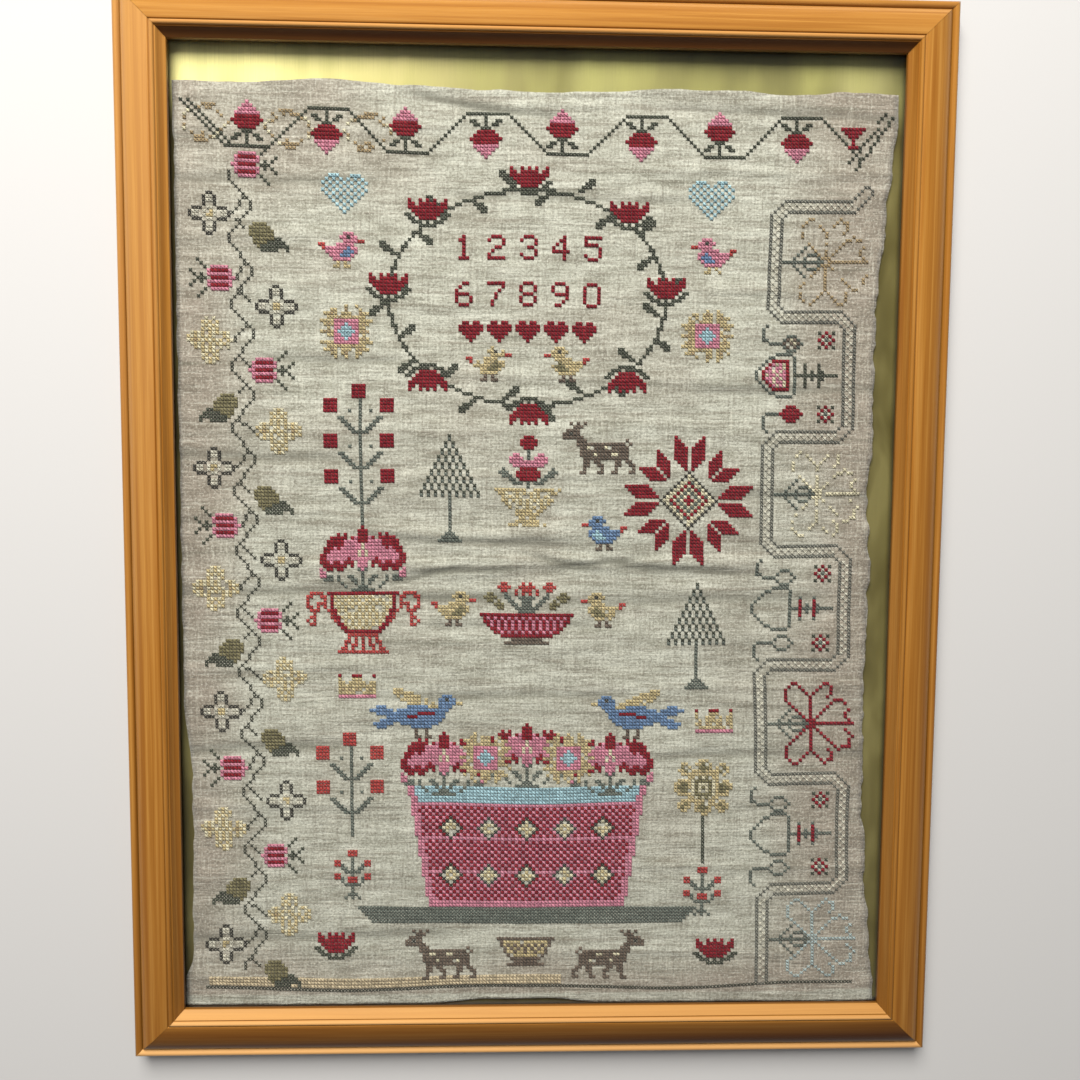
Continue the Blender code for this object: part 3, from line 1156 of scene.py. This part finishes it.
BAND_LEFTS = (166.5, 165.5, 164.5, 165.5)
BAND_RIGHT = 188.5
BAND_ROWS = (30.5, 61.5, 95.5, 128.5, 161.5, 195.5, 228.5, 259.5)
BAND_HALF = 1.5
BAND_CHAMFER = 3.0
LINE_PETAL = (
    ((0, 0), (0, -8), (4, -12), (6, -11), (6, -9), (5, -8)),
    ((0, 0), (-6, -6), (-7, -9), (-5, -12), (-4, -12), (0, -8)),
)
LINE_TIP = (
    ((1, -1), (6, -6), (8, -7), (10, -6)),
    ((0, 0), (12, 0), (10, -2), (11, -4)),
    ((10, 2), (12, 4), (11, 7), (8, 8), (1, 1)),
)
TENDRIL = ((-2, 2), (-3, 4), (-3, 6), (-1, 7), (2, 7))


def band_path():
    """Return the middle line of the doubled band, corner by corner."""
    path = [(BAND_RIGHT + 4.0, BAND_ROWS[0] - 4.0), (BAND_RIGHT, BAND_ROWS[0])]
    for turn, (upper, lower) in enumerate(zip(BAND_ROWS, BAND_ROWS[1:])):
        column = BAND_LEFTS[turn // 2] if turn % 2 == 0 else BAND_RIGHT
        inner = BAND_CHAMFER if turn % 2 == 0 else -BAND_CHAMFER
        path.append((column + inner, upper))
        path.append((column, upper + BAND_CHAMFER))
        path.append((column, lower - BAND_CHAMFER))
        path.append((column + inner, lower))
    return path[:-1]


def distance_to_path(column, row, path):
    """Return how far a stitch lies from a line of points."""
    best = float("inf")
    for (c0, r0), (c1, r1) in zip(path, path[1:]):
        dc, dr = c1 - c0, r1 - r0
        share = ((column - c0) * dc + (row - r0) * dr) / (dc * dc + dr * dr)
        share = min(1.0, max(0.0, share))
        best = min(best, sqrt((column - c0 - dc * share) ** 2 + (row - r0 - dr * share) ** 2))
    return best


def line_flower(column, row, thread):
    """Set a large flower drawn in outline, opening to the right."""
    stroke(((-12, 0), (0, 0)), column, row, "s")
    for side in (-1, 1):
        stroke(((-10, 0), (-6, -4)), column, row, "s", side)
        stroke(((-7, 0), (-5, -2), (-3, -2), (-1, 0)), column, row, "s", side)
        for places in LINE_PETAL:
            stroke(places, column, row, thread, side)
    for places in LINE_TIP:
        stroke(places, column, row, thread)


def right_border():
    """Set the doubled band that turns from side to side and what its bays hold."""
    path = band_path()
    for column in range(int(min(BAND_LEFTS)) - 4, int(BAND_RIGHT) + 10):
        for row in range(int(BAND_ROWS[0]) - 8, int(BAND_ROWS[-1]) + 1):
            distance = distance_to_path(column, row, path)
            if abs(distance - BAND_HALF) < 0.5:
                sew(column, row, "m")
            elif distance <= 0.5 and (column + row) % 2 == 0:
                sew(column, row, "w")
    flower_threads = ("f", "c", "r", "u")
    for turn, (upper, lower) in enumerate(zip(BAND_ROWS, BAND_ROWS[1:])):
        middle = (upper + lower) / 2
        if turn % 2 == 0:
            line_flower(BAND_LEFTS[turn // 2] + 14, middle, flower_threads[turn // 2])
        else:
            berry_bay(BAND_LEFTS[turn // 2], upper, lower, filled=turn == 1)


def berry_bay(left, upper, lower, filled):
    """Set a strawberry on a barred stem, with small motifs around it."""
    row = (upper + lower) / 2
    empty = None if filled else {"r": ".", "p": ".", "c": "."}
    hollow = None if filled else {"n": ".", "c": "."}
    motif(mirrored(STRAWBERRY), BAND_RIGHT - 21, row, threads=empty)
    motif(mirrored(BARRED_STEM), BAND_RIGHT - 8.5, row, threads={"r": "g"} if filled else {"g": "s"})
    for corner, side in ((upper, 1), (lower, -1)):
        motif(four_fold(SNOWFLAKE), BAND_RIGHT - 6.5, corner + side * 6.5)
        stroke(TENDRIL, left, corner, "s", side)
        oval = RED_BALL if filled and side < 0 else SMALL_OVAL
        motif(four_fold(oval), left + 5.5, corner + side * 7 + 0.5, threads=hollow)


# Border of the foot

GROUND_ROW = 258
GROUND_GOLD_END = 108
GROUND_GOLD_ROWS = 3


def bottom_border():
    """Set the ground line, with faded gold rows over its first half."""
    for column in range(3, 192):
        sew(column, GROUND_ROW, "v")
    for column in range(4, GROUND_GOLD_END):
        for above in range(1, GROUND_GOLD_ROWS + 1):
            sew(column, GROUND_ROW - above, "e")


# Field

def garland(column, row, half_width, half_height):
    """Set an oval vine of leaves with tulips around it."""
    steps = 400
    for step in range(steps):
        turn = 2.0 * pi * step / steps
        sew(column + half_width * cos(turn), row + half_height * sin(turn), "g")
    leaves = 24
    leaf_reach = 3.2
    for step in range(leaves):
        turn = 2.0 * pi * (step + 0.5) / leaves
        outward = leaf_reach if step % 2 else -leaf_reach
        c = column + (half_width + outward) * cos(turn)
        r = row + (half_height + outward) * sin(turn)
        motif(GARLAND_LEAF, c, r, flip=cos(turn) * outward < 0, upside_down=sin(turn) * outward > 0)
    tulips = 8
    for step in range(tulips):
        turn = 2.0 * pi * (step + 0.5) / tulips - 0.5 * pi / tulips * 2
        c = column + half_width * cos(turn)
        r = row + half_height * sin(turn)
        motif(whole(TULIP), c + 0.5, r - 2.0 * (1 if sin(turn) < 0.5 else -1), upside_down=sin(turn) > 0.5)


def medallion(column, row):
    """Set a ring of paired petals around a checked diamond."""
    outline, inner_ring, dotted_ring, red_rings = 8, 3, 6, (0, 1, 5)
    for sideways in range(-outline, outline + 1):
        for down in range(-outline, outline + 1):
            reach = abs(sideways) + abs(down)
            dotted = reach == dotted_ring and (sideways + down) % 4 == 0
            if reach in (inner_ring, outline) or dotted:
                sew(column + sideways, row + down, "k" if reach == outline else "s")
            elif reach in red_rings:
                sew(column + sideways, row + down, "r")
            elif reach < outline:
                sew(column + sideways, row + down, "c")
    petal_width, petal_length, petal_step, corner_start = 4, 7, 0.99, 6
    for turn_x, turn_y in ((1, 1), (1, -1), (-1, 1), (-1, -1)):
        for along in range(petal_width):
            for over in range(petal_length):
                across = along + 1
                out = outline + across + over * petal_step
                sew(column + turn_x * across, row + turn_y * out, "r")
                sew(column + turn_x * out, row + turn_y * across, "r")
                if 0 < over < petal_length - 1:
                    near = corner_start + along
                    sew(column + turn_x * (near + over), row + turn_y * near, "r")
                    sew(column + turn_x * near, row + turn_y * (near + over), "r")


def fir_tree(column, row, tiers):
    """Set a tree of little green peaks on a thin trunk."""
    for tier in range(tiers):
        for place in range(-tier, tier + 1, 2):
            sew(column + place, row + 2 * tier, "g")
            sew(column + place, row + 2 * tier + 1, "s")
    trunk, mound = 9, 4
    foot = row + 2 * tiers + trunk
    line((column, row + 2 * tiers), (column, foot), "s")
    for step in range(mound):
        line((column - step, foot + step), (column + step, foot + step), "s")


def tall_plant(column, row, thread, tiers=3):
    """Set a plant with a square blossom at the end of each branch."""
    pitch, branch, stem, rise, side_length = 10, 8, 6, 6, 4
    foot = row + pitch * tiers + stem
    line((column, row), (column, foot), "s")
    blossoms = [(column, row - 2)]
    for tier in range(tiers):
        joint = row + pitch * (tier + 1)
        for side in (-1, 1):
            for step in range(1, rise):
                sew(column + side * step, joint - step, "s")
                sew(column + side * (step + 1), joint - step, "s")
            sew(column + side * 3, joint - 7, "s")
            blossoms.append((column + side * branch, joint - 8))
    for c, r in blossoms:
        for step in range(side_length * side_length):
            sew(c - 2 + step % side_length, r - 2 + step // side_length, thread)


def digit_rows(text, column, row):
    """Set a row of numerals."""
    pitch = 9
    start = column - pitch * (len(text) - 1) / 2
    for place, digit in enumerate(text):
        motif(DIGITS[digit], start + place * pitch, row)


def great_basket(column, row):
    """Set a wide basket of checked weave under a row of flowers."""
    top_half, bottom_half, height, rim, band_pitch = 34, 28, 36, 5, 10
    lozenge_rows, lozenge_columns = (12, 26), (-22, -11, 0, 11, 22)
    for down in range(height):
        half = round(top_half + (bottom_half - top_half) * down / (height - 1))
        for across in range(-half, half + 1):
            edge = half - abs(across) < 2 or down >= height - 2
            if down < rim:
                thread = "p" if edge else "l"
            elif edge or down % band_pitch == rim:
                thread = "p"
            else:
                thread = "p" if (across + down) % 2 else "r"
            sew(column + across, row + down, thread)
    for down in lozenge_rows:
        for across in lozenge_columns:
            motif(four_fold(LOZENGE), column + across + 0.5, row + down + 0.5)
    for across, high in ((-24, 7), (0, 10), (24, 7)):
        motif(whole(GRAND_CARNATION), column + across + 0.5, row - high)
    for across in (-12, 12):
        motif(four_fold(ROSETTE), column + across + 0.5, row - 9)


def field():
    """Set the middle of the sampler."""
    middle = 97
    garland(middle, 57, 39, 30)
    digit_rows("12345", middle + 0.5, 43)
    digit_rows("67890", middle + 0.5, 56)
    for across in (-16, -8, 0, 8, 16):
        motif(whole(LITTLE_HEART), middle + across + 0.5, 67)
    for side in (-1, 1):
        flip = side < 0
        motif(SMALL_BIRD, middle + side * 10, 76, flip=flip)
        motif(whole(LATTICE_HEART), middle + side * 51, 29)
        motif(SMALL_BIRD, middle + side * 51, 45, flip=flip, threads={"y": "p", "o": "b", "n": "y"})
        motif(four_fold(ROSETTE), middle + side * 51, 67)
    tall_plant(50, 86, "r")
    motif(whole(GRAND_CARNATION), 50.5, 131)
    motif(whole(URN), 50.5, 150)
    fir_tree(75, 96, 9)
    motif(whole(BALL_VASE), 97.5, 109)
    motif(STAG, 117, 99)
    medallion(143, 114)
    motif(SMALL_BIRD, 118, 124, threads={"y": "b", "o": "l"})
    motif(SMALL_BIRD, 77, 146, flip=True)
    motif(whole(FLOWER_BOWL), 97.5, 147)
    motif(SMALL_BIRD, 118, 146)
    fir_tree(146, 138, 9)
    motif(LARGE_BIRD, 66, 176, flip=True)
    motif(LARGE_BIRD, 129, 176)
    great_basket(middle, 198)
    for row in range(5):
        line((48 + row, 234 + row), (146 - row, 234 + row), "s")
    motif(four_fold(GOLD_DAHLIA), 148.5, 198)
    line((148, 207), (148, 220), "g")
    motif(whole(BERRY_SHRUB), 148.5, 229)
    motif(whole(CROWN), 48.5, 168)
    motif(whole(CROWN), 151.5, 178)
    tall_plant(46, 186, "t", tiers=2)
    motif(whole(BERRY_SHRUB), 46.5, 224)
    motif(whole(TULIP), 41.5, 246)
    motif(whole(TULIP), 152.5, 248)
    motif(STAG, 72, 248)
    motif(STAG, 122, 248, flip=True)
    motif(whole(POT), 97.5, 247)


# Stitches

def thread_material(name, colour):
    """Dyed thread with a faint twist, faded from stitch to stitch."""
    material, tree, shader = new_material("thread_" + name, 0.75, 0.3)
    flat = stored(tree, "flat", "Vector")
    worn = noise(tree, flat, (0.05, 0.07, 1.0))
    fuzz = noise(tree, flat, (4.5, 4.5, 1.0), detail=2.0)
    dark = tuple(0.62 * part for part in colour)
    pale = tuple(min(0.9, 1.2 * part + 0.015) for part in colour)
    shade = mix(tree, stored(tree, "tone"), dark, pale)
    shade = overlaid(tree, shade, ((worn, 0.5, 0.8, 0.25, pale), (fuzz, 0.4, 0.7, 0.45, dark)))
    dress(tree, shader, shade, fuzz, 0.0002, 0.7)
    shader.inputs["Sheen Weight"].default_value = 0.08
    return material


# How the chart is pulled out of true, in millimetres, with the start and run of each pull
STRETCH_ACROSS = 7.5
STRETCH_ROWS = (120.0, 140.0)
STRETCH_COLUMNS = (0.0, 200.0)
TOP_SAG = 3.0
SAG_COLUMNS = (0.0, 205.0)
SAG_ROWS = 70.0
VINE_LEAN = 3.0
LEAN_COLUMNS = (60.0, -40.0)
LEAN_ROWS = (110.0, 80.0)
HEM_WAVE = 1.5
WAVE_START = -8.0
WAVE_RUN = 28.6
WAVE_ROWS = (250.0, 6.0)
DRIFT = 0.9


def chart_to_cloth(column, row):
    """Return the place on the cloth of a point of the chart, pulled out of true."""
    x = CHART_LEFT + column * CELL
    y = CHART_TOP - row * CELL
    x = x + STRETCH_ACROSS * rising(column, *STRETCH_COLUMNS) ** 3 * rising(row, *STRETCH_ROWS)
    y = y - TOP_SAG * np.sin(pi * rising(column, *SAG_COLUMNS)) * np.exp(-row / SAG_ROWS)
    x = x + VINE_LEAN * rising(column, *LEAN_COLUMNS) * rising(row, *LEAN_ROWS)
    y = y + HEM_WAVE * np.cos((x - WAVE_START) / WAVE_RUN) * rising(row, *WAVE_ROWS)
    x = x + DRIFT * smooth_noise(x, y, 70.0, 60.0, 31)
    y = y + DRIFT * smooth_noise(x, y, 60.0, 70.0, 32)
    return x, y


WEAR_SEED = 7
WORN_SHARE = 0.12
WEARING_THREADS = "cfy"
UNDER_LIFT = 0.16
OVER_LIFT = 0.44
STRAND_TIP = 0.12
STRAND_SHOULDER = 0.15
STRAND_THICKNESS = 0.62
LIFT_SPREAD = 0.05
WIDTH_SPREAD = (0.88, 1.1)

# The station along a strand of each of its points: its tip, two rings of four and its far tip
STRAND_STATIONS = (0, 1, 1, 1, 1, 2, 2, 2, 2, 3)


def strands(starts, ends, half_width, lift, rng):
    """Return points and faces of one bowed strand for each pair of chart points."""
    count = len(starts)
    centres = []
    for share in (0.0, STRAND_SHOULDER, 1.0 - STRAND_SHOULDER, 1.0):
        place = starts + (ends - starts) * share
        x, y = chart_to_cloth(place[:, 0], place[:, 1])
        inside = 0.0 < share < 1.0
        z = cloth_height(x, y) + (lift if inside else -STRAND_TIP)
        if inside:
            z = z + rng.uniform(-LIFT_SPREAD, LIFT_SPREAD, count)
        centres.append(np.stack([x, y, z], axis=-1))
    run = centres[3] - centres[0]
    run[:, 2] = 0.0
    run /= np.linalg.norm(run, axis=1)[:, None]
    side = np.stack([run[:, 1], -run[:, 0], run[:, 2]], axis=-1)
    width = half_width * rng.uniform(*WIDTH_SPREAD, count)[:, None]
    up = np.array([0.0, 0.0, 1.0])[None, :] * width * STRAND_THICKNESS
    around = np.stack([side * width, up, -side * width, -up], axis=1)
    middles = np.stack([centres[station] for station in STRAND_STATIONS], axis=1)
    points = middles.copy()
    points[:, 1:5] += around
    points[:, 5:9] += around
    flat = middles * (1.0, 1.0, 0.0)
    tips = []
    walls = []
    for corner in range(4):
        after = (corner + 1) % 4
        tips.append((0, 1 + corner, 1 + after))
        tips.append((9, 5 + after, 5 + corner))
        walls.append((1 + corner, 5 + corner, 5 + after, 1 + after))
    first = np.arange(count)[:, None, None] * len(STRAND_STATIONS)
    tips = (first + np.array(tips)[None]).reshape(-1, 3)
    walls = (first + np.array(walls)[None]).reshape(-1, 4)
    tone = np.repeat(rng.uniform(0.0, 1.0, count), len(STRAND_STATIONS))
    return points.reshape(-1, 3), flat.reshape(-1, 3), walls, tips, tone


def wear_threads():
    """Take out the odd stitch that has worn away in the palest threads."""
    rng = np.random.RandomState(WEAR_SEED)
    for place in sorted(chart):
        if chart[place] in WEARING_THREADS and rng.uniform() < WORN_SHARE:
            del chart[place]


def make_stitches():
    """Make every cross of the chart, one mesh for each thread."""
    made = []
    wear_threads()
    for key, (name, colour, half_width) in THREADS.items():
        cells = np.array(sorted(place for place, letter in chart.items() if letter == key), float)
        rng = np.random.RandomState(ord(key))
        low = cells - 0.5
        under = strands(low + (0.0, 1.0), low + (1.0, 0.0), half_width, UNDER_LIFT, rng)
        over = strands(low, low + 1.0, half_width, OVER_LIFT, rng)
        shift = len(under[0])
        points = np.concatenate([under[0], over[0]])
        faces = [np.concatenate([under[2], over[2] + shift]), np.concatenate([under[3], over[3] + shift])]
        mesh = mesh_from_arrays("stitches_" + name, points, faces)
        store_places(mesh, "flat", np.concatenate([under[1], over[1]]))
        store_values(mesh, "tone", np.concatenate([under[4], over[4]]))
        made.append(add_piece("stitches_" + name, mesh, thread_material(name, colour)))
    return made


# Satin behind the linen

SATIN_FOLDS = (
    # x from, y from, x to, y to, half width, rise
    (-74, 270, -72, 235, 3, 0.5),
    (-30, 270, -36, 230, 9, -0.3),
    (27, 270, 22, 238, 4, 0.5),
    (42, 262, 46, 236, 5, 0.3),
    (76, 270, 70, 236, 8, 0.35),
    (130, 270, 140, 236, 9, -0.35),
    (168, 270, 158, 236, 7, 0.35),
    (190, 220, 196, 120, 8, 0.3),
    (192, 60, 188, -80, 7, -0.3),
)

# Colours of the strip above the linen, by share across, a painted sheen brightest at the left with painted
# shade between, and where it begins in y
SATIN_PAINTED_SHEEN = (
    (0.10, (0.95, 0.86, 0.36)), (0.30, (0.64, 0.56, 0.23)), (0.42, (0.37, 0.33, 0.125)),
    (0.53, (0.26, 0.235, 0.08)), (0.57, (0.40, 0.37, 0.135)), (0.64, (0.34, 0.31, 0.11)),
    (0.72, (0.22, 0.20, 0.07)), (0.90, (0.23, 0.21, 0.075)), (0.93, (0.42, 0.385, 0.155)),
    (0.97, (0.36, 0.33, 0.13)), (1.0, (0.18, 0.165, 0.058)),
)
SATIN_SHEEN_UP = (225.0, 245.0)
SATIN_COLUMNS = 120
SATIN_ROWS = 160
SATIN_CLEARANCE = 2.0
SATIN_FOLD_ROOM = (-0.45, 0.6)


def satin_material():
    """Olive satin, with a painted sheen and painted shade along its strip above the linen."""
    material, tree, shader = new_material("olive_satin", 0.36, 0.6)
    flat = stored(tree, "flat", "Vector")
    threads = noise(tree, flat, (1.6, 0.02, 1.0), roughness=0.7)
    clouds = noise(tree, flat, (0.045, 0.02, 1.0), (4.0, 1.0, 0.0), detail=2.0, distortion=0.5)
    drape_sheen = noise(tree, flat, (0.05, 0.016, 1.0), (9.0, 2.0, 0.0), detail=1.0)
    olive = ((0.35, (0.095, 0.075, 0.016)), (0.50, (0.135, 0.110, 0.030)), (0.68, (0.200, 0.168, 0.055)))
    place = tree.nodes.new("ShaderNodeSeparateXYZ")
    tree.links.new(flat, place.inputs["Vector"])
    upper = spread(tree, place.outputs["Y"], *SATIN_SHEEN_UP)
    across = spread(tree, place.outputs["X"], -SIGHT_WIDTH / 2, SIGHT_WIDTH / 2)
    # painted sheen and painted shade across the upper strip, and paler painted highlights on drape patches
    painted_sheen = overlaid(tree, ramp(tree, across, SATIN_PAINTED_SHEEN), ((drape_sheen, 0.42, 0.68, 0.55, (0.48, 0.45, 0.15)),))
    tone = mix(tree, upper, ramp(tree, clouds, olive), painted_sheen)
    tone = overlaid(tree, tone, ((threads, 0.4, 0.7, 0.16, (0.10, 0.085, 0.025)),))
    dress(tree, shader, tone, threads, 0.0001, 0.4)
    shader.inputs["Anisotropic"].default_value = 0.5
    shader.inputs["Sheen Weight"].default_value = 0.3
    return material


def make_satin():
    """Make the satin that covers the board."""
    half_width = SIGHT_WIDTH / 2 + LIP_REACH - SATIN_CLEARANCE
    half_height = SIGHT_HEIGHT / 2 + LIP_REACH - SATIN_CLEARANCE
    u, v = np.meshgrid(np.linspace(-1.0, 1.0, SATIN_COLUMNS), np.linspace(-1.0, 1.0, SATIN_ROWS))
    x = u.ravel() * half_width
    y = v.ravel() * half_height
    rise = fold_sum(SATIN_FOLDS, x, y) + 0.10 * smooth_noise(x, y, 26.0, 60.0, 41)
    satin, _ = sheet_piece(
        "satin_backing_cloth", "satin_lining", x, y, SATIN_MIDDLE + np.clip(rise, *SATIN_FOLD_ROOM),
        SATIN_COLUMNS, SATIN_ROWS, SATIN_THICKNESS, satin_material(),
    )
    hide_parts("silk_backing")


# Glass and board

def cover(node, material):
    """Give a plain solid its one material."""
    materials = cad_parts[node].data.materials
    materials.clear()
    materials.append(material)


def finish_panels():
    """Give the pane and the board their surfaces."""
    glass = bpy.data.materials.new("picture_glass")
    glass.use_nodes = True
    tree = glass.node_tree
    tree.nodes.remove(tree.nodes["Principled BSDF"])
    clear = tree.nodes.new("ShaderNodeBsdfTransparent")
    clear.inputs["Color"].default_value = (0.985, 0.992, 0.988, 1.0)
    gloss = tree.nodes.new("ShaderNodeBsdfGlossy")
    gloss.inputs["Roughness"].default_value = 0.03
    both = tree.nodes.new("ShaderNodeMixShader")
    both.inputs[0].default_value = 0.045
    tree.links.new(clear.outputs["BSDF"], both.inputs[1])
    tree.links.new(gloss.outputs["BSDF"], both.inputs[2])
    tree.links.new(both.outputs["Shader"], tree.nodes["Material Output"].inputs["Surface"])
    cover("glass_pane", glass)

    board, tree, shader = new_material("brown_board", 0.75, 0.3)
    place = tree.nodes.new("ShaderNodeTexCoord").outputs["Object"]
    fibres = noise(tree, place, (900.0, 900.0, 900.0), detail=4.0, roughness=0.7, distortion=1.2)
    browns = ((0.3, (0.13, 0.075, 0.04)), (0.55, (0.20, 0.125, 0.07)), (0.75, (0.28, 0.19, 0.11)))
    dress(tree, shader, ramp(tree, fibres, browns), fibres, 0.0002, 0.5)
    cover("backboard", board)


# Stage, lights and camera

FLOOR_REACH = 3.0
FLOOR_DROP = 0.0003
LAMPS = (
    # name, place, size, power, colour
    ("key", (-0.25, 1.15, 1.25), 0.95, 58.0, (1.0, 0.97, 0.93)),
    ("ceiling", (-0.70, 0.50, 1.50), 1.00, 5.0, (1.0, 0.96, 0.94)),
)


def make_stage():
    """Make the pale floor and the soft studio light."""
    mesh = bpy.data.meshes.new("floor")
    work = bmesh.new()
    bmesh.ops.create_grid(work, x_segments=1, y_segments=1, size=FLOOR_REACH)
    bmesh.ops.translate(work, vec=(0.0, 0.0, -FLOOR_DROP), verts=work.verts)
    work.to_mesh(mesh)
    work.free()
    ground = bpy.data.objects.new("floor", mesh)
    bpy.context.scene.collection.objects.link(ground)
    material, tree, shader = new_material("pale_floor", 0.8, 0.2)
    shader.inputs["Base Color"].default_value = (0.52, 0.515, 0.505, 1.0)
    mesh.materials.append(material)

    world = bpy.data.worlds.new("studio")
    world.use_nodes = True
    sky = world.node_tree.nodes["Background"]
    sky.inputs["Color"].default_value = (0.93, 0.96, 1.0, 1.0)
    sky.inputs["Strength"].default_value = 0.13
    bpy.context.scene.world = world
    for name, place, size, power, colour in LAMPS:
        data = bpy.data.lights.new(name, "AREA")
        data.size = size
        data.energy = power
        data.color = colour
        lamp = bpy.data.objects.new(name, data)
        lamp.location = place
        lamp.rotation_euler = (-Vector(place)).to_track_quat("-Z", "Y").to_euler()
        lamp.visible_glossy = False
        bpy.context.scene.collection.objects.link(lamp)
    bpy.context.scene.view_settings.view_transform = "Standard"


def make_camera():
    """Make the camera where the photo was taken from."""
    data = bpy.data.cameras.new("camera")
    data.sensor_width = SENSOR
    data.lens = SENSOR * FOCAL_PIXELS / IMAGE_PIXELS
    data.clip_start = 0.01
    camera = bpy.data.objects.new("camera", data)
    camera.location = Vector(CAMERA_PLACE) * MM
    camera.rotation_euler = [radians(turn) for turn in CAMERA_TURN]
    bpy.context.scene.collection.objects.link(camera)
    bpy.context.scene.camera = camera


make_camera()
make_stage()
make_rails()
finish_panels()
make_satin()
cloth = make_cloth(linen_material())
bottom_border()
left_border()
top_border()
right_border()
field()
stitches = make_stitches()
